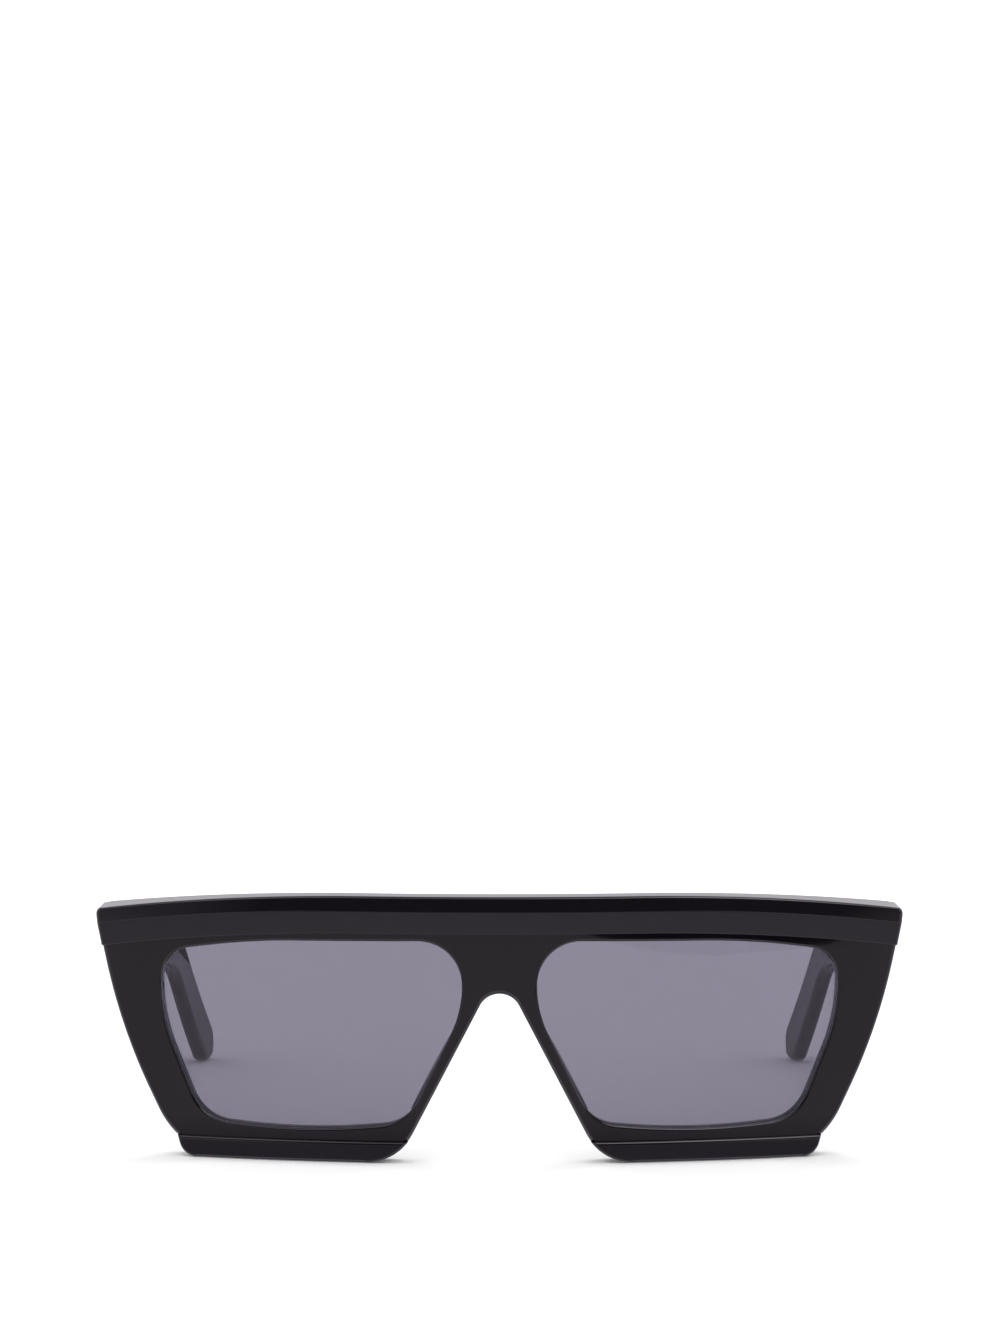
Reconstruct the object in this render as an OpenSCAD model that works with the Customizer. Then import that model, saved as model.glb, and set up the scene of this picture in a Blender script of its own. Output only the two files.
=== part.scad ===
// Flat-top geometric sunglasses in thick black sheet plastic: a curved front with a faceted brow bar
// on top and a ledge under each eye, two smoked lenses in grooves, and two arms on five-knuckle hinges.
// X runs across the face, Y from the face to the ears and Z up. The folded-out glasses stand on their
// two ledges and two arm tips at Z = 0, and the origin is the middle of the ground they cover.

/* [Front] */
// Radius of the curve of the face, seen from above
face_r = 175; // [165:5:200]
// Thickness of the front from its face to its back
front_t = 5.5; // [5.2:0.1:6.4]
// Height from the table to the top of the brow
front_h = 48.8; // [48:0.2:51]
// Width of the front along its curve, at the top corners
front_w = 154.6; // [152:0.2:157]
// How far the side's knee lies inside the top corner
knee_in = 5.2; // [4:0.1:6]
// Height of the side's knee
knee_z = 23.4; // [22.6:0.2:26]
// Radius of the side at its knee
knee_r = 100; // [60:1:104]
// How far the side's foot lies inside the top corner
foot_in = 17.5; // [16.5:0.1:18.5]
// Radius of the rim's lower outer corner
foot_r = 16; // [12:0.5:17]
// Radius of the brow's upper outer corner
corner_r = 2; // [1:0.1:3]
// Direction in which each side's openings and ends are cut, from straight back at 0 to square with the
// face at the middle of the eye at 1
cut_share = 0.55; // [0.4:0.05:1]

/* [Eye openings] */
// Width of an eye opening along the curve
eye_w = 56.7; // [55:0.1:57.5]
// Height of the lowest edge of an eye opening
eye_z = 6; // [5.8:0.1:6.6]
// Height of the rim between an eye opening and the brow
rim_top = 1.45; // [1.1:0.05:2]
// Width between the two eye openings
bridge_w = 13.8; // [13.4:0.1:15]

/* [Nose] */
// Height of the top of the nose notch
nose_z = 31; // [29:0.1:32]
// Radius of the top of the nose notch
nose_r = 4; // [3:0.1:4.5]
// Angle of each side of the nose notch from upright
nose_angle = 27.5; // [26:0.1:28]
// Radius of the lower inner corner of a ledge
nose_foot_r = 10; // [6:0.5:11]
// Width of the rim between the nose notch and the lower inner corner of an eye opening
nose_rim = 1.9; // [1.6:0.1:2.4]
// Width of a nose pad
pad_w = 1.9; // [1.2:0.1:2]
// Length of a nose pad, measured upwards
pad_l = 15; // [8:0.5:16]
// How far a nose pad stands behind the front
pad_d = 4.2; // [2:0.1:6]
// Height of the lower end of a nose pad
pad_z = 9; // [6:0.5:11]
// Gap between a nose pad and the wall of the notch, as set back
pad_back = 0.2; // [0.1:0.1:0.6]
// Radius of a nose pad's lower rear corner
pad_low_r = 4; // [2:0.5:4]
// Radius of a nose pad's upper rear corner
pad_top_r = 7; // [4:0.5:7.5]

/* [Brow bar] */
// Height of the brow bar
brow_h = 6.8; // [6.4:0.1:7]
// How far the brow's ridge stands in front of the face
brow_proud = 1.5; // [1:0.1:2]
// Height of the upper facet, from the ridge to the top
facet_h = 2.65; // [2:0.05:3.5]
// How far the upper facet leans back to the top
facet_lean = 0.85; // [0.4:0.05:1.2]
// How far the lower facet leans back to the lower edge
lower_lean = 0.4; // [0.1:0.05:0.8]
// Half length of the level middle of the brow
brow_flat = 25; // [15:1:35]
// Radius of the brow's fall towards its ends
brow_fall_r = 344; // [300:2:420]
// Width of the narrow bevel along the brow's top and rear edges
brow_bevel = 0.3; // [0.1:0.1:0.5]

/* [Ledges] */
// Height of a ledge
ledge_h = 3.95; // [3:0.05:4.4]
// How far a ledge stands in front of the face
ledge_proud = 1; // [0.6:0.1:1.5]
// Radius of the ledge's long front edges
ledge_edge_r = 0.8; // [0.3:0.1:1.2]
// Radius of the ledge's lower outer corner
ledge_end_r = 3.5; // [2:0.1:3.5]
// How far a ledge's outer end lies inside the front's top corner
ledge_in = 17; // [16:0.1:18]
// How far that end leans in from the ledge's top to the table
ledge_draft = 1.25; // [0.8:0.05:1.6]

/* [Lenses] */
// Thickness of a lens
lens_t = 2; // [1.8:0.1:2.4]
// How far a lens lies behind the face
lens_in = 1.5; // [1:0.1:2]
// Thickness of the tongue round a lens
tongue_t = 1; // [0.8:0.1:1.4]
// Depth of the groove that holds a lens
groove_d = 0.6; // [0.4:0.05:0.7]

/* [Arms] */
// Thickness of an arm at its hinge
arm_t = 4.2; // [3.8:0.1:4.8]
// Thickness of an arm from the ear on
ear_t = 3; // [2.8:0.1:3.6]
// Height of an arm at its hinge
arm_h = 13.3; // [12:0.1:14]
// Height of an arm at the ear
ear_h = 8.2; // [7.6:0.1:9.6]
// Length of the straight of an arm
arm_l = 81.5; // [74:0.5:88]
// Fall of the straight of an arm
arm_slope = 6.5; // [5:0.1:7]
// Radius of the bend at the ear, along the middle of the arm
ear_r = 28; // [24:1:40]
// Angle of the arm tip below level
tip_angle = 41.5; // [36:0.5:45]
// Angle by which an arm starts inwards at the hinge
toe_angle = 1.1; // [0.5:0.05:1.5]
// Length of an arm before it curves inwards, seen from above
arm_even_l = 50; // [40:1:60]
// Radius of that inward curve
arm_curve_r = 340; // [320:10:420]
// Radius of an arm's long edges
arm_edge_r = 1.1; // [0.6:0.1:1.5]
// Drop from the top of the brow to the top of an arm
arm_drop = 5; // [4.6:0.1:5.6]
// How far an arm's outer face lies inside the front's top corner
arm_inset = 3; // [2.6:0.1:3.4]
// Length over which the arm's sections turn from upright to square with its fall
lean_l = 20; // [15:1:30]
// Diameter of the metal core in an arm
core_d = 1.5; // [1:0.1:1.6]
// Gap between the hinge leaf and the core
core_gap = 1; // [0.5:0.5:3]
// How far the core stops short of the centre of the arm's round end
core_short = 6; // [4:0.5:10]

/* [Hinges] */
// Length of an end block behind the front, on its outer side
block_l = 4.2; // [3.8:0.1:5]
// Outside diameter of a knuckle
knuckle_d = 3; // [2.8:0.1:3.2]
// Height of one knuckle
knuckle_h = 1.4; // [1.2:0.05:1.6]
// Thickness of a hinge leaf
leaf_t = 1; // [0.8:0.1:1.2]
// Height of a hinge leaf
leaf_h = 9; // [8:0.1:10]
// Length of the leaf in an arm
leaf_l = 11.5; // [8:0.5:14]
// Width of the leaf on an end block
leaf_w = 3.2; // [3:0.1:3.4]
// How far that leaf reaches inwards from the screw's axis
leaf_in = 2.1; // [1.9:0.1:2.2]
// Space between that leaf and the knuckles
leaf_back = 1.1; // [1:0.1:1.4]
// Width of the neck between a leaf and its knuckle
neck_w = 1.8; // [1.6:0.1:2]
// Diameter of the pegs under a leaf
peg_d = 1.5; // [1:0.1:1.8]
// Depth of the pegs in an end block, and in an arm
peg_l = 2; // [1.5:0.1:2.5]
arm_peg_l = 1.5; // [1:0.1:2]
// Distance of a peg from the upper or lower edge of its leaf
peg_edge = 1.9; // [1.5:0.1:2.4]
// Distance of an arm's pegs from the far end of its leaf
peg_end = 3; // [2:0.1:4]
// Diameter of the hinge screw's shank
screw_d = 1.4; // [1.2:0.05:1.6]
// Diameter of the hinge screw's head
head_d = 2.4; // [2.2:0.1:2.6]
// Height of the hinge screw's head
head_h = 0.7; // [0.5:0.1:1]
// Width of the slot in the screw's head
slot_w = 0.4; // [0.3:0.05:0.5]

/* [Clearances] */
// Glue line between bonded pieces
glue = 0.02; // [0.02:0.01:0.05]
// Gap round a lens in its groove
lens_gap = 0.05; // [0.03:0.01:0.1]
// Gap between the end block and the arm, folded out
butt_gap = 0.15; // [0.1:0.05:0.3]
// Gap between two knuckles
knuckle_gap = 0.06; // [0.04:0.01:0.1]
// Gap round the screw in the front's knuckles
screw_fit = 0.03; // [0.02:0.01:0.04]
// Gap round the screw in the arm's knuckles
turn_fit = 0.05; // [0.04:0.01:0.08]
// Gap between a knuckle and the plane of the arm's inner face
knuckle_side = 0.2; // [0.1:0.05:0.4]
// Plastic left beside the leaf on an end block
block_edge = 0.7; // [0.5:0.1:1.2]
// How far the face that stops the arm starts outside the arm's inner face
stop_in = 0.4; // [0.3:0.1:0.8]
// Gap round a leaf, its pegs and the core in the plastic
sunk_gap = 0.05; // [0.03:0.01:0.1]

/* [Hidden] */

// Longest gap between a true arc and the chords that stand for it
chord_gap = 0.02;
// Reach of a cutter past what it cuts, and of one that clears the whole front
over = 1;
far = 20;
// Facets of the big cylinders of the face, and of small round pieces
face_fn = 360;
small_fn = 48;

// The brow's underside in its level middle, and the place along the curve where the top corner lies
brow_z = front_h - brow_h;
side_s = front_w / 2;
// Edges of an eye opening
eye_in = bridge_w / 2;
eye_out = eye_in + eye_w;
eye_top = brow_z - rim_top;
eye_h = eye_top - eye_z;
// Turn of each side's cuts from straight back
cut_angle = cut_share * arc_angle((eye_in + eye_out) / 2);

// The sides of the nose notch would meet at this height, and reach the table this far out
nose_apex = nose_z + nose_r * (1 / sin(nose_angle) - 1);
nose_foot = nose_apex * tan(nose_angle);

// Corners of an eye opening, anticlockwise from the lower inner one: place as a share of its width,
// height as a share of its height, and the share of its shorter side that the rounding takes up.
// The place of the first one follows the nose notch instead.
eye_shape = [
    [0, 0.035, 0.247],
    [0.514, -0.019, 0.66],
    [0.857, 0.03, 0.261],
    [1, 0.568, 0.518],
    [1, 0.919, 0.454],
    [0.686, 0.991, 0.46],
    [0, 1.004, 0.631],
    [0, 0.632, 0.358]
];
eye_places = [for (i = [0:len(eye_shape) - 1])
    let (x = eye_in + eye_shape[i].x * eye_w, z = eye_z + eye_shape[i].y * eye_h)
    [i == 0 ? notch_x(z) + nose_rim / cos(nose_angle) : x, z]];
eye_corners =
    let (n = len(eye_shape))
    [for (i = [0:n - 1])
        let (p = eye_places[i], before = eye_places[(i + n - 1) % n], after = eye_places[(i + 1) % n])
        [p.x, p.y, rounding(before, p, after, eye_shape[i].z)]];

// The brow is shaped by this many sections on each side of the middle one
stations = 19;
station_x = arc_x(side_s) + over;

// Arm and hinge, all on the right-hand side, measured from the face's middle
arm_out = arc_x(side_s) - arm_inset;
arm_in = arm_out - arm_t;
butt_y = back_y(arm_out) + block_l;
hinge_z = front_h - arm_drop - arm_h / 2;
knuckles = 5;
knuckle_step = knuckle_h + knuckle_gap;
stack_h = knuckles * knuckle_h + (knuckles - 1) * knuckle_gap;
stack_z = hinge_z - stack_h / 2;
hinge_x = arm_in - knuckle_d / 2 - knuckle_side;
hinge_y = butt_y;
// The block's rear face under its leaf, and the inner sides of that leaf and of the block
seat_y = hinge_y - knuckle_d / 2 - leaf_back;
leaf_x = hinge_x - leaf_in;
block_in = leaf_x - block_edge;
peg_z = leaf_h / 2 - peg_edge;
arm_peg_y = leaf_l - peg_end;

// Centre line of an arm in the side view: the straight, the bend at the ear and the tip, which is as
// long as it has to be for its round end to reach the table
arm_y = butt_y + butt_gap;
tip_r = ear_h / 2;
bend_l = ear_r * (tip_angle - arm_slope) * PI / 180;
bend_y = arm_l * cos(arm_slope);
bend_z = -arm_l * sin(arm_slope);
tip_y = bend_y + ear_r * (sin(tip_angle) - sin(arm_slope));
tip_z = bend_z - ear_r * (cos(arm_slope) - cos(tip_angle));
tip_l = (hinge_z + tip_z - tip_r) / sin(tip_angle);
round_p = arm_l + bend_l + tip_l;
tip_end_y = arm_y + tip_y + tip_l * cos(tip_angle) + tip_r;
core_start = leaf_l + core_gap;
core_end = round_p - core_short;

// Middle of the ground that the glasses cover
mid_y = (tip_end_y - brow_proud) / 2;

acetate = [0.09, 0.085, 0.1];
smoke = [0.36, 0.35, 0.42, 0.6];
steel = [0.72, 0.72, 0.74];
silver = [0.8, 0.8, 0.8];

// Angle of a place along the curve of the face, and its distance from the middle plane
function arc_angle(s) = s / face_r * 180 / PI;
function arc_x(s) = face_r * sin(arc_angle(s));
// The place along the curve at a distance from the middle plane
function arc_s(x) = face_r * asin(x / face_r) * PI / 180;
// Depth of the surface that lies d behind the face
function bow_y(x, d) = face_r - sqrt(pow(face_r - d, 2) - x * x);
function back_y(x) = bow_y(x, front_t);
// How far out the straight side of the nose notch lies at a height
function notch_x(z) = (nose_apex - z) * tan(nose_angle);
// A place along the curve, seen along the direction in which one side is cut
function across(s) = face_r * sin(arc_angle(s) - cut_angle);
function cut_view(points) = [for (p = points) [across(p.x), p.y]];
// Fall of the brow at a distance from the middle plane
function fall(x) = let (beyond = max(0, arc_s(abs(x)) - brow_flat)) beyond * beyond / (2 * brow_fall_r);

function unit(v) = v / norm(v);
function flat2(p) = [p.x, p.y];
// Radius of the rounding at b between a and c that takes up a share of the shorter side
function rounding(a, b, c, share) =
    share * min(norm(a - b), norm(c - b)) * tan(acos(unit(a - b) * unit(c - b)) / 2);
// Points of the round corner at b between a and c
function corner(a, b, c, r) =
    r == 0 ? [flat2(b)] :
    let (
        u = unit(flat2(a - b)),
        w = unit(flat2(c - b)),
        half = acos(u * w) / 2,
        mid = flat2(b) + unit(u + w) * r / sin(half),
        from = flat2(b) + u * r / tan(half) - mid,
        turn = 180 - 2 * half,
        way = sign(u.y * w.x - u.x * w.y),
        steps = max(1, ceil(turn / (2 * acos(1 - chord_gap / r))))
    )
    [for (i = [0:steps])
        let (angle = atan2(from.y, from.x) + way * turn * i / steps)
        mid + r * [cos(angle), sin(angle)]];
// A closed outline from corners that each give a place and a radius
function outline(corners) =
    let (n = len(corners))
    [for (i = [0:n - 1]) each corner(corners[(i + n - 1) % n], corners[i], corners[(i + 1) % n], corners[i].z)];
// The corners of an anticlockwise outline moved outwards by g
function grown(corners, g) =
    let (n = len(corners))
    [for (i = [0:n - 1])
        let (
            u = unit(flat2(corners[i] - corners[(i + n - 1) % n])),
            w = unit(flat2(corners[(i + 1) % n] - corners[i])),
            out = [u.y + w.y, -u.x - w.x] / (1 + u * w),
            r = corners[i].z
        )
        [corners[i].x + out.x * g, corners[i].y + out.y * g, r == 0 ? 0 : r + g]];

function eye_outline(g) = cut_view(outline(grown(eye_corners, g)));

// Side outline of the rim and the brow, from the foot to the top line, which falls at end_slope there
side_top = front_h - fall(arc_x(side_s));
end_slope = (side_s - brow_flat) / brow_fall_r;
side_points = outline([
    [0, 0, 0],
    [side_s - foot_in, 0, foot_r],
    [side_s - knee_in, knee_z, knee_r],
    [side_s, side_top, corner_r],
    [side_s / 2, side_top + end_slope * side_s / 2, 0]
]);
// Everything beyond the side outline
beyond_side = concat(
    [for (i = [1:len(side_points) - 1]) side_points[i]],
    [[side_s / 2, front_h + far], [side_s + far, front_h + far], [side_s + far, -far], [side_points[1].x, -far]]
);

// Everything beyond the outer end of a ledge
ledge_side = side_s - ledge_in;
ledge_foot = corner([0, 0], [ledge_side - ledge_draft, 0], [ledge_side, ledge_h], ledge_end_r);
beyond_ledge = concat(
    ledge_foot,
    [[ledge_side + ledge_draft, 2 * ledge_h], [side_s + far, 2 * ledge_h], [side_s + far, -far],
        [ledge_foot[0].x, -far]]
);

// Outline of the front seen from the front: the notch and the foot line, up to a given line of tops
foot_line = outline([
    [-side_s - far, 0, 0],
    [-nose_foot, 0, nose_foot_r],
    [0, nose_apex, nose_r],
    [nose_foot, 0, nose_foot_r],
    [side_s + far, 0, 0],
    [side_s + far, front_h + far, 0],
    [-side_s - far, front_h + far, 0]
]);
lower_points = [for (i = [0:len(foot_line) - 3]) [arc_x(foot_line[i].x), foot_line[i].y]];
ledge_line = [[arc_x(side_s + far), ledge_h + over], [-arc_x(side_s + far), ledge_h + over]];
brow_line = [for (i = [stations:-1:-stations])
    let (x = station_x * i / stations) [x, brow_z - glue - fall(x)]];

// Section of the brow bar as depth behind the face and height above its underside, from the lower
// front edge up over the ridge and round the back
brow_section = [
    [lower_lean - brow_proud, 0],
    [-brow_proud, brow_h - facet_h],
    [facet_lean - brow_proud, brow_h - brow_bevel],
    [facet_lean - brow_proud + brow_bevel, brow_h],
    [front_t - brow_bevel, brow_h],
    [front_t, brow_h - brow_bevel],
    [front_t, brow_bevel],
    [front_t - brow_bevel, 0]
];

// Triangles and caps of a solid with rings of points, each ring anticlockwise seen from its start
function ring_faces(rings, n) = concat(
    [[for (j = [n - 1:-1:0]) j]],
    [for (i = [0:rings - 2], j = [0:n - 1])
        [i * n + j, i * n + (j + 1) % n, (i + 1) * n + (j + 1) % n, (i + 1) * n + j]],
    [[for (j = [0:n - 1]) (rings - 1) * n + j]]
);
module rings_solid(rings) {
    polyhedron(points = [for (ring = rings) each ring], faces = ring_faces(len(rings), len(rings[0])), convexity = 6);
}

// Place along an arm: p is the distance from the hinge along its centre line
function arm_heading(p) =
    p < arm_l ? arm_slope :
    p < arm_l + bend_l ? arm_slope + (p - arm_l) / ear_r * 180 / PI :
    tip_angle;
function arm_centre(p) =
    p < arm_l ? p * [cos(arm_slope), -sin(arm_slope)] :
    p < arm_l + bend_l ?
        let (a = arm_heading(p))
        [bend_y, bend_z] + ear_r * [sin(a) - sin(arm_slope), cos(a) - cos(arm_slope)] :
    [tip_y, tip_z] + (p - arm_l - bend_l) * [cos(tip_angle), -sin(tip_angle)];
// The arm's end is cut upright, and its sections lean into the fall over lean_l
function arm_lean(p) = arm_heading(p) * min(1, p / lean_l);
// Height of an arm: a taper along the straight, then the ear's height to the round end
function arm_height(p) =
    p < arm_l ? arm_h + (ear_h - arm_h) * p / arm_l :
    p < round_p ? ear_h :
    2 * sqrt(max(0, tip_r * tip_r - pow(p - round_p, 2)));
// Thickness of an arm: a taper along the straight, then the ear's
function arm_thickness(p) = arm_t + (ear_t - arm_t) * min(1, p / arm_l);
// Outer face of an arm at a distance behind its end
function arm_outer(q) = arm_out - q * tan(toe_angle) - pow(max(0, q - arm_even_l), 2) / (2 * arm_curve_r);
// A point at a distance a from the arm's mid thickness and b from its centre line
function arm_point(p, a, b) =
    let (c = arm_centre(p), lean = arm_lean(p), q = c.x + b * sin(lean))
    [arm_outer(q) - arm_thickness(p) / 2 + a, arm_y + q, hinge_z + c.y + b * cos(lean)];

// Section of an arm: a rounded rectangle with this many steps at each corner, whose radius stays under
// this share of half the arm's height where the round end runs out
edge_steps = 3;
edge_share = 0.9;
function arm_ring(p) =
    let (h = arm_height(p) / 2, w = arm_thickness(p) / 2, r = min(arm_edge_r, edge_share * h))
    [for (k = [0:3], i = [0:edge_steps])
        let (angle = 90 * k + 90 * i / edge_steps,
            ca = (k == 0 || k == 3) ? w - r : r - w,
            cb = k < 2 ? h - r : r - h)
        arm_point(p, ca + r * cos(angle), cb + r * sin(angle))];
arm_stations = concat(
    [for (i = [0:12]) arm_l * i / 12],
    [for (i = [1:6]) arm_l + bend_l * i / 6],
    [for (i = [1:2]) arm_l + bend_l + tip_l * i / 2],
    [for (i = [1:8]) round_p + tip_r * sin(10 * i)]
);
// Rings of a round wire of diameter d that follows the arm between two distances
wire_sides = 10;
wire_steps = 22;
function wire_rings(from, to, d) =
    [for (i = [0:wire_steps])
        [for (j = [0:wire_sides - 1])
            let (angle = 360 * j / wire_sides)
            arm_point(from + (to - from) * i / wire_steps, d / 2 * cos(angle), d / 2 * sin(angle))]];

// Everything is modelled with the face's middle at the origin and then set over the middle of its
// footprint, and the left-hand pieces are the right-hand ones mirrored
module placed() {
    translate([0, -mid_y, 0])
        children();
}
module sided(side) {
    placed()
        mirror([side < 0 ? 1 : 0, 0, 0])
            children();
}

// Sheet between two depths behind the face and two heights
module sheet(d0, d1, z0, z1) {
    translate([0, face_r, z0])
        difference() {
            cylinder(r = face_r - d0, h = z1 - z0, $fn = face_fn);
            translate([0, 0, -over])
                cylinder(r = face_r - d1, h = z1 - z0 + 2 * over, $fn = face_fn);
        }
}
// An outline seen from the front, carried straight back
module front_prism(points, y0, y1) {
    translate([0, y1, 0])
        rotate([90, 0, 0])
            linear_extrude(y1 - y0)
                polygon(points);
}
// An outline seen square to the eye, carried back in that direction
module eye_prism(points) {
    translate([0, face_r, 0])
        rotate([0, 0, cut_angle])
            front_prism(points, -face_r - brow_proud - over, -face_r + back_y(station_x) + over);
}
// A profile seen from the side, carried across
module side_prism(points, x0, x1) {
    translate([x0, 0, 0])
        rotate([90, 0, 90])
            linear_extrude(x1 - x0)
                polygon(points);
}

module front_frame() {
    color(acetate)
        placed()
            difference() {
                intersection() {
                    sheet(0, front_t, ledge_h + glue, front_h);
                    front_prism(concat(lower_points, brow_line), -over, back_y(station_x) + over);
                }
                for (side = [0, 1])
                    mirror([side, 0, 0]) {
                        eye_prism(cut_view(beyond_side));
                        eye_prism(eye_outline(0));
                        lens_groove();
                    }
            }
}
// The groove round an eye opening that the lens's tongue sits in
module lens_groove() {
    tongue_in = lens_in + (lens_t - tongue_t) / 2;
    intersection() {
        sheet(tongue_in - lens_gap, tongue_in + tongue_t + lens_gap, 0, front_h);
        eye_prism(eye_outline(groove_d));
    }
}

module brow_bar() {
    color(acetate)
        placed()
            difference() {
                rings_solid([for (i = [-stations:stations])
                    let (x = station_x * i / stations)
                    [for (p = brow_section) [x, bow_y(x, p.x), brow_z + p.y - fall(x)]]]);
                for (side = [0, 1])
                    mirror([side, 0, 0])
                        eye_prism(cut_view(beyond_side));
            }
}

// Ledge under an eye: a bar bent with the front, with rounded long edges and cut ends
ledge_section = outline([
    [face_r - front_t, 0, 0],
    [face_r + ledge_proud, 0, ledge_edge_r],
    [face_r + ledge_proud, ledge_h, ledge_edge_r],
    [face_r - front_t, ledge_h, 0]
]);
module ledge(side) {
    color(acetate)
        sided(side)
            difference() {
                intersection() {
                    translate([0, face_r, 0])
                        rotate([0, 0, -90])
                            rotate_extrude(angle = arc_angle(side_s), $fn = face_fn)
                                polygon(ledge_section);
                    front_prism(concat(lower_points, ledge_line), -ledge_proud - over, back_y(station_x) + over);
                }
                eye_prism(cut_view(beyond_ledge));
            }
}

module lens(side) {
    tongue_in = lens_in + (lens_t - tongue_t) / 2;
    color(smoke)
        sided(side)
            union() {
                intersection() {
                    sheet(lens_in, lens_in + lens_t, 0, front_h);
                    eye_prism(eye_outline(-lens_gap));
                }
                intersection() {
                    sheet(tongue_in, tongue_in + tongue_t, 0, front_h);
                    eye_prism(eye_outline(groove_d - lens_gap));
                }
            }
}

// Slim pad behind the rim along one side of the nose notch
module nose_pad(side) {
    top = pad_z + pad_l;
    near = pad_back / cos(nose_angle);
    far = near + pad_w / cos(nose_angle);
    back = back_y(notch_x(pad_z));
    color(acetate)
        sided(side)
            intersection() {
                front_prism(outline([
                    [notch_x(pad_z) + near, pad_z, 0],
                    [notch_x(pad_z) + far, pad_z, 0],
                    [notch_x(top) + far, top, 0],
                    [notch_x(top) + near, top, 0]
                ]), 0, back + pad_d);
                side_prism(outline([
                    [0, pad_z, 0],
                    [back + pad_d, pad_z, pad_low_r],
                    [back + pad_d, top, pad_top_r],
                    [0, top, 0]
                ]), 0, eye_out);
                translate([0, face_r, 0])
                    cylinder(r = face_r - front_t - glue, h = front_h, $fn = face_fn);
            }
}

// Corner block behind the front that carries the hinge and stops the arm
module end_block(side) {
    color(acetate)
        sided(side)
            difference() {
                intersection() {
                    translate([0, 0, hinge_z - arm_h / 2])
                        linear_extrude(arm_h)
                            polygon([
                                [block_in, 0],
                                [arm_out, 0],
                                [arm_out, butt_y],
                                [arm_in + stop_in, butt_y],
                                [arm_in + stop_in, seat_y],
                                [block_in, seat_y]
                            ]);
                    translate([0, face_r, 0])
                        cylinder(r = face_r - front_t - glue, h = front_h, $fn = face_fn);
                }
                front_leaf_plate(sunk_gap);
                front_leaf_pegs(sunk_gap);
            }
}

// Plate and pegs of the leaf on an end block, grown by g for the pocket that they sink into
module front_leaf_plate(g) {
    translate([leaf_x - g, seat_y - leaf_t - g, hinge_z - leaf_h / 2 - g])
        cube([leaf_w + 2 * g, leaf_t + g + (g > 0 ? over : 0), leaf_h + 2 * g]);
}
module front_leaf_pegs(g) {
    for (z = [-peg_z, peg_z])
        translate([leaf_x + leaf_w / 2, seat_y - leaf_t / 2, hinge_z + z])
            rotate([90, 0, 0])
                cylinder(d = peg_d + 2 * g, h = leaf_t / 2 + peg_l + g, $fn = small_fn);
}
// Plate and pegs of the arm's leaf, grown by g for its pocket
module arm_leaf_plate(g) {
    translate([arm_in - (g > 0 ? over : 0), arm_y - (g > 0 ? over : 0), hinge_z - leaf_h / 2 - g])
        cube([leaf_t + g + (g > 0 ? over : 0), leaf_l + g + (g > 0 ? over : 0), leaf_h + 2 * g]);
}
module arm_leaf_pegs(g) {
    for (z = [-peg_z, peg_z])
        translate([arm_in + leaf_t / 2, arm_y + arm_peg_y, hinge_z + z])
            rotate([0, 90, 0])
                cylinder(d = peg_d + 2 * g, h = leaf_t / 2 + arm_peg_l + g, $fn = small_fn);
}

// Every second knuckle of the stack, from the one numbered first
module knuckle_barrels(first) {
    for (i = [first:2:knuckles - 1])
        translate([hinge_x, hinge_y, stack_z + i * knuckle_step])
            cylinder(d = knuckle_d, h = knuckle_h, $fn = small_fn);
}
module screw_bore(gap) {
    translate([hinge_x, hinge_y, stack_z - over])
        cylinder(d = screw_d + 2 * gap, h = stack_h + 2 * over, $fn = small_fn);
}

module hinge_front(side) {
    color(steel)
        sided(side)
            difference() {
                union() {
                    front_leaf_plate(0);
                    front_leaf_pegs(0);
                    knuckle_barrels(0);
                    for (i = [0:2:knuckles - 1])
                        translate([hinge_x - neck_w / 2, seat_y - leaf_t / 2, stack_z + i * knuckle_step])
                            cube([neck_w, hinge_y - seat_y + leaf_t / 2 - screw_d / 2, knuckle_h]);
                }
                screw_bore(screw_fit);
            }
}

module hinge_arm(side) {
    color(steel)
        sided(side)
            difference() {
                union() {
                    translate([0, butt_gap, 0])
                        intersection() {
                            arm_leaf_plate(0);
                            translate([0, arm_y, 0])
                                cube([arm_out, leaf_l - butt_gap, front_h]);
                        }
                    arm_leaf_pegs(0);
                    knuckle_barrels(1);
                    for (i = [1:2:knuckles - 1])
                        translate([hinge_x + screw_d / 2, arm_y + butt_gap, stack_z + i * knuckle_step])
                            cube([arm_in - hinge_x, neck_w, knuckle_h]);
                    for (i = [1:2:knuckles - 1])
                        translate([hinge_x, hinge_y, stack_z + i * knuckle_step])
                            cube([knuckle_d / 2, neck_w + butt_gap, knuckle_h]);
                }
                screw_bore(turn_fit);
            }
}

// Screw with a slotted cheese head that sits on the top knuckle
module hinge_screw(side) {
    color(silver)
        sided(side)
            translate([hinge_x, hinge_y, stack_z])
                difference() {
                    union() {
                        cylinder(d = screw_d, h = stack_h, $fn = small_fn);
                        translate([0, 0, stack_h])
                            cylinder(d = head_d, h = head_h, $fn = small_fn);
                    }
                    translate([-head_d, -slot_w / 2, stack_h + head_h / 2])
                        cube([2 * head_d, slot_w, head_h]);
                }
}

module arm(side) {
    color(acetate)
        sided(side)
            difference() {
                rings_solid([for (p = arm_stations) arm_ring(p)]);
                arm_leaf_plate(sunk_gap);
                arm_leaf_pegs(sunk_gap);
                rings_solid(wire_rings(core_start - sunk_gap, core_end + sunk_gap, core_d + 2 * sunk_gap));
            }
}
module core(side) {
    color(silver)
        sided(side)
            rings_solid(wire_rings(core_start, core_end, core_d));
}

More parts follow.
